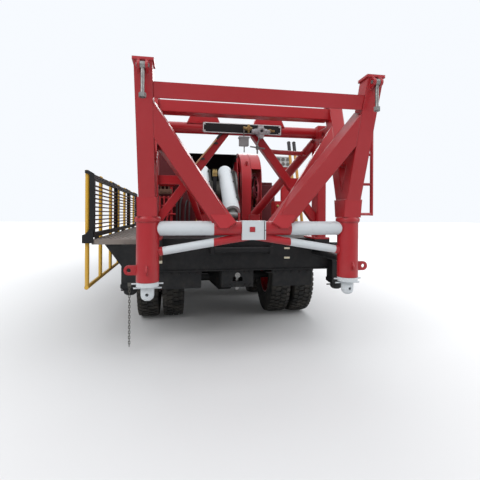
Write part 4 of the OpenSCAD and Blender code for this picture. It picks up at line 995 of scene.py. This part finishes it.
def door_details(side, sign):
    """Window, seals and handle, which ride on the door."""
    body = "door_" + side
    pane = Shape().plate(rounded(8.578, 9.292, 1.988, 2.722, 0.05), (sign * 1.205, 0, 0), Y, Z,
                         X * sign * 0.005)
    pane.done("window_" + side, "glass", body)
    window = [(sign * 1.243, y, z) for y, z in rounded(8.566, 9.304, 1.976, 2.734, 0.055)]
    door = [(sign * 1.2405, y, z) for y, z in rounded(8.492, 9.408, 1.252, 2.808, 0.05)]
    seal = Shape().tube(window, 0.011, 8, closed=True)
    seal.tube(door, 0.0035, 6, closed=True)
    seal.done("window_seal_" + side, "grip", body)
    grip = [(1.238, 8.56), (1.27, 8.575), (1.275, 8.64), (1.27, 8.705), (1.238, 8.72)]
    handle = Shape().tube(bend([(sign * x, y, 1.86) for x, y in grip]), 0.0095, 10)
    lock = [(0, 0.016), (0.006, 0.015), (0.008, 0.011), (0.008, 0)]
    handle.turned((sign * 1.239, 8.76, 1.83), X * sign, lock, 16)
    handle.done("door_handle_" + side, "grip", body)


def cab_side_details(side, sign):
    """Grab rail, mirror, lamps and steps, which stay with the cab."""
    run = [(1.238, 1.5), (1.29, 1.53), (1.29, 2.1), (1.238, 2.13)]
    rail = Shape().tube(bend([(sign * x, 8.44, z) for x, z in run]), 0.0125, 10)
    rail.done("grab_rail_" + side, "steel")
    x = sign * 1.36
    mirror = Shape().block((x - 0.08, 9.446, 1.92), (x + 0.08, 9.452, 2.48), 0.003)
    mirror.done("mirror_glass_" + side, "mirror")
    rim = [(0, 0.112), (0.012, 0.112), (0.022, 0.1), (0.0235, 0.092), (0, 0.092)]
    bezel = Shape().turned((sign * 0.94, 9.751, 0.67), Y, rim, 40, hollow=True)
    bezel.done("lamp_bezel_" + side, "steel")
    x = sign * 1.13
    turn = Shape().block((x - 0.06, 9.745, 0.62), (x + 0.06, 9.764, 0.72), 0.008)
    for z in (0.63 + 0.018 * k for k in range(5)):
        turn.block((x - 0.055, 9.763, z), (x + 0.055, 9.766, z + 0.008), 0.001)
    turn.done("turn_lamp_" + side, "amber")
    x = sign * 1.245
    steps = Shape()
    for z in (0.56, 0.82, 1.06):
        steps.block((x - 0.02, 9.05, z), (x + 0.02, 9.37, z + 0.02), 0.003)
        for y in (9.075 + 0.045 * k for k in range(7)):
            steps.block((x - 0.018, y - 0.004, z + 0.019), (x + 0.018, y + 0.004, z + 0.026), 0.001)
    steps.done("cab_steps_" + side, "steel")


def cab_front_details():
    """Seals of the front and rear screens, wipers, grille, roof markers and bumper."""
    front = [(x, screen_y(z) + 0.004, z) for x, z in rounded(-1.075, 1.075, 1.965, 2.795, 0.05)]
    rear = [(x, 7.697, z) for x, z in rounded(-0.595, 0.595, 2.055, 2.595, 0.04)]
    seal = Shape().tube(front, 0.014, 8, closed=True)
    seal.tube(rear, 0.012, 8, closed=True)
    seal.done("screen_seals", "grip")
    wipers = Shape()
    blade = Vector((0.2, 0, 0.3)).normalized() * 0.26
    for x in (-0.95, -0.2, 0.5):
        foot = Vector((x, screen_y(1.93) + 0.012, 1.93))
        wipers.turned(foot - Y * 0.012, Y, [(0, 0.022), (0.016, 0.022), (0.022, 0.014), (0.022, 0)],
                      16)
        elbow = Vector((x + 0.24, screen_y(2.2) + 0.03, 2.2))
        wipers.tube([foot + Y * 0.01, elbow], 0.006, 8)
        for end in (elbow - blade, elbow + blade):
            end.y = screen_y(end.z) + 0.016
            wipers.tube([elbow, end], 0.006, 6)
    wipers.done("wipers", "grip")
    grille = Shape()
    for z in (1.5 + 0.046 * k for k in range(8)):
        y = 9.62 - 0.02 * (z - 1.48) / 0.47
        grille.block((-0.78, y - 0.006, z), (0.78, y + 0.014, z + 0.02), 0.004)
    for x in (-0.79, -0.395, 0, 0.395, 0.79):
        grille.block((x - 0.01, SCREEN_Y, 1.485), (x + 0.01, 9.632, 1.87), 0.003)
    grille.block((-0.8, SCREEN_Y, 1.86), (0.8, 9.628, 1.885), 0.003)
    grille.block((-0.8, 9.606, 1.465), (0.8, 9.634, 1.49), 0.003)
    grille.done("grille", "grip")
    markers = Shape()
    for x in (-0.9, -0.25, 0, 0.25, 0.9):
        markers.block((x - 0.05, 9.26, 2.945), (x + 0.05, 9.31, 2.972), 0.008)
    markers.done("roof_markers", "amber")
    places = product((-1.1, -0.75, -0.4, 0.4, 0.75, 1.1), (9.75,), (0.53, 0.81))
    bolts = Shape().bolts(places, Y, 0.02)
    for x in (-0.3, 0.3):
        bolts.hoop((x, 9.758, 0.6), X, Z, 0.03, 0.009)
    bolts.done("bumper_bolts", "steel")


# Deck machinery

def machinery_details():
    """Caps on the fuel tanks, level gauge on the hydraulic tank, the engine's injector pipes."""
    low, high = span("fuel_tanks")
    cap = [(0, 0.05), (0.02, 0.05), (0.022, 0.058), (0.045, 0.058), (0.052, 0.05), (0.052, 0)]
    caps = Shape()
    for sign, y in product((-1, 1), (low.y + 0.25, high.y - 0.25)):
        caps.turned((sign * (high.x - 0.17), y, high.z - 0.004), Z, cap, 28)
    caps.done("tank_caps", "steel")
    low, high = span("hydraulic_tank")
    gauge = Shape().block((high.x - 0.004, low.y + 0.1, 1.5), (high.x + 0.008, low.y + 0.13, 1.8),
                          0.003)
    gauge.bolts(product((high.x + 0.006,), (low.y + 0.115,), (1.51, 1.79)), X, 0.014)
    gauge.done("level_gauge", "casting")
    pipes = Shape()
    for k, side in product(range(6), (-1, 1)):
        y = 5.87 + 0.145 * k
        run = [(0.11, y, 1.86), (0.16, y + 0.02, 1.9), (0.23, y + 0.02, 1.93), (0.28, y, 1.9)]
        pipes.tube(bend([(side * x, y, z) for x, y, z in run]), 0.006, 8)
    pipes.done("injector_pipes", "steel")


def details():
    """Every piece that the script adds or puts in a node's place."""
    guard()
    blank_plate()
    air_valve()
    valve_fittings()
    brace_details()
    mast_base_details()
    console_details()
    guard_details()
    drive_case()
    drum_details()
    ram_details()
    valve_post()
    rear_details()
    ground_chain()
    pipe_stand()
    deck_shield()
    wheels()
    walkway_details()
    for side, sign in SIDES:
        door_details(side, sign)
        cab_side_details(side, sign)
    cab_front_details()
    machinery_details()


# Stage, light and camera

def pale_floor():
    """Material of a pale floor that fades into the white backdrop away from the rig."""
    material = bpy.data.materials.new("floor_pale")
    n = Nodes(material)
    n.shade("Base Color", (0.6, 0.6, 0.6, 1))
    n.shade("Roughness", 0.9)
    n.shade("Emission Color", (1, 1, 1, 1))
    # Distance from the part's zero, shorter along the truck
    oval = n.add("ShaderNodeVectorMath", operation="MULTIPLY")
    n.put(n.position(), oval.inputs[0])
    n.put((1.0, 0.35, 0.0), oval.inputs[1])
    reach = n.add("ShaderNodeVectorMath", operation="LENGTH")
    n.put(oval.outputs["Vector"], reach.inputs[0])
    glow = n.ramp(reach.outputs["Value"], 1.8, 7.5, 0.02, 0.62)
    n.shade("Emission Strength", n.times(n.sees_backdrop(), glow))
    return material


def stage():
    """The floor, and a world that is white to look at and a soft dome of light otherwise."""
    bpy.ops.mesh.primitive_plane_add(size=120, location=(0, 0, -0.002))
    floor = bpy.context.object
    floor.name = "floor"
    floor.data.materials.append(pale_floor())
    world = bpy.context.scene.world or bpy.data.worlds.new("studio")
    bpy.context.scene.world = world
    n = Nodes(world, "Background")
    n.shade("Color", (0.93, 0.96, 1.0, 1))
    direction = n.add("ShaderNodeTexCoord").outputs["Generated"]
    dome = n.ramp(n.height_of(direction), 0.0, 1.0, 0.36, 1.15)
    n.shade("Strength", n.ramp(n.sees_backdrop(), 0.0, 1.0, dome, 1.0))


def lamp(name, place, size, power):
    """Square area lamp that points at the rig's middle."""
    data = bpy.data.lights.new(name, "AREA")
    data.size = size
    data.energy = power
    lamp_object = bpy.data.objects.new(name, data)
    bpy.context.collection.objects.link(lamp_object)
    lamp_object.location = place
    aim = Vector((0, 0, 1.2)) - Vector(place)
    lamp_object.rotation_euler = aim.to_track_quat("-Z", "Y").to_euler()


def light():
    lamp("key", (-7, -11, 9), 7, 780)
    lamp("fill", (9, -7, 6), 8, 450)
    lamp("front", (4, 12, 8), 8, 700)
    lamp("top", (0, 0, 11), 9, 150)


# The camera, from the photograph's vanishing lines
CAMERA_AT = (-0.685, -3.3, 1.5)
CAMERA_TURN = -9.7                # degrees
CAMERA_ROLL = 0.3
FOCAL_PX = 355
HORIZON_PX = 214.5
IMAGE_PX = 480
SENSOR_MM = 36


def camera():
    data = bpy.data.cameras.new("camera")
    data.sensor_width = SENSOR_MM
    data.lens = FOCAL_PX / IMAGE_PX * SENSOR_MM
    data.shift_y = (HORIZON_PX - IMAGE_PX / 2) / IMAGE_PX
    data.clip_end = 200
    view = bpy.data.objects.new("camera", data)
    bpy.context.collection.objects.link(view)
    matrix = Matrix.Translation(at(*CAMERA_AT))
    for degrees, axis in ((CAMERA_TURN, "Z"), (90, "X"), (CAMERA_ROLL, "Z")):
        matrix = matrix @ Matrix.Rotation(math.radians(degrees), 4, axis)
    view.matrix_world = matrix
    bpy.context.scene.camera = view


details()
stage()
light()
camera()
bpy.context.scene.view_settings.view_transform = "Standard"
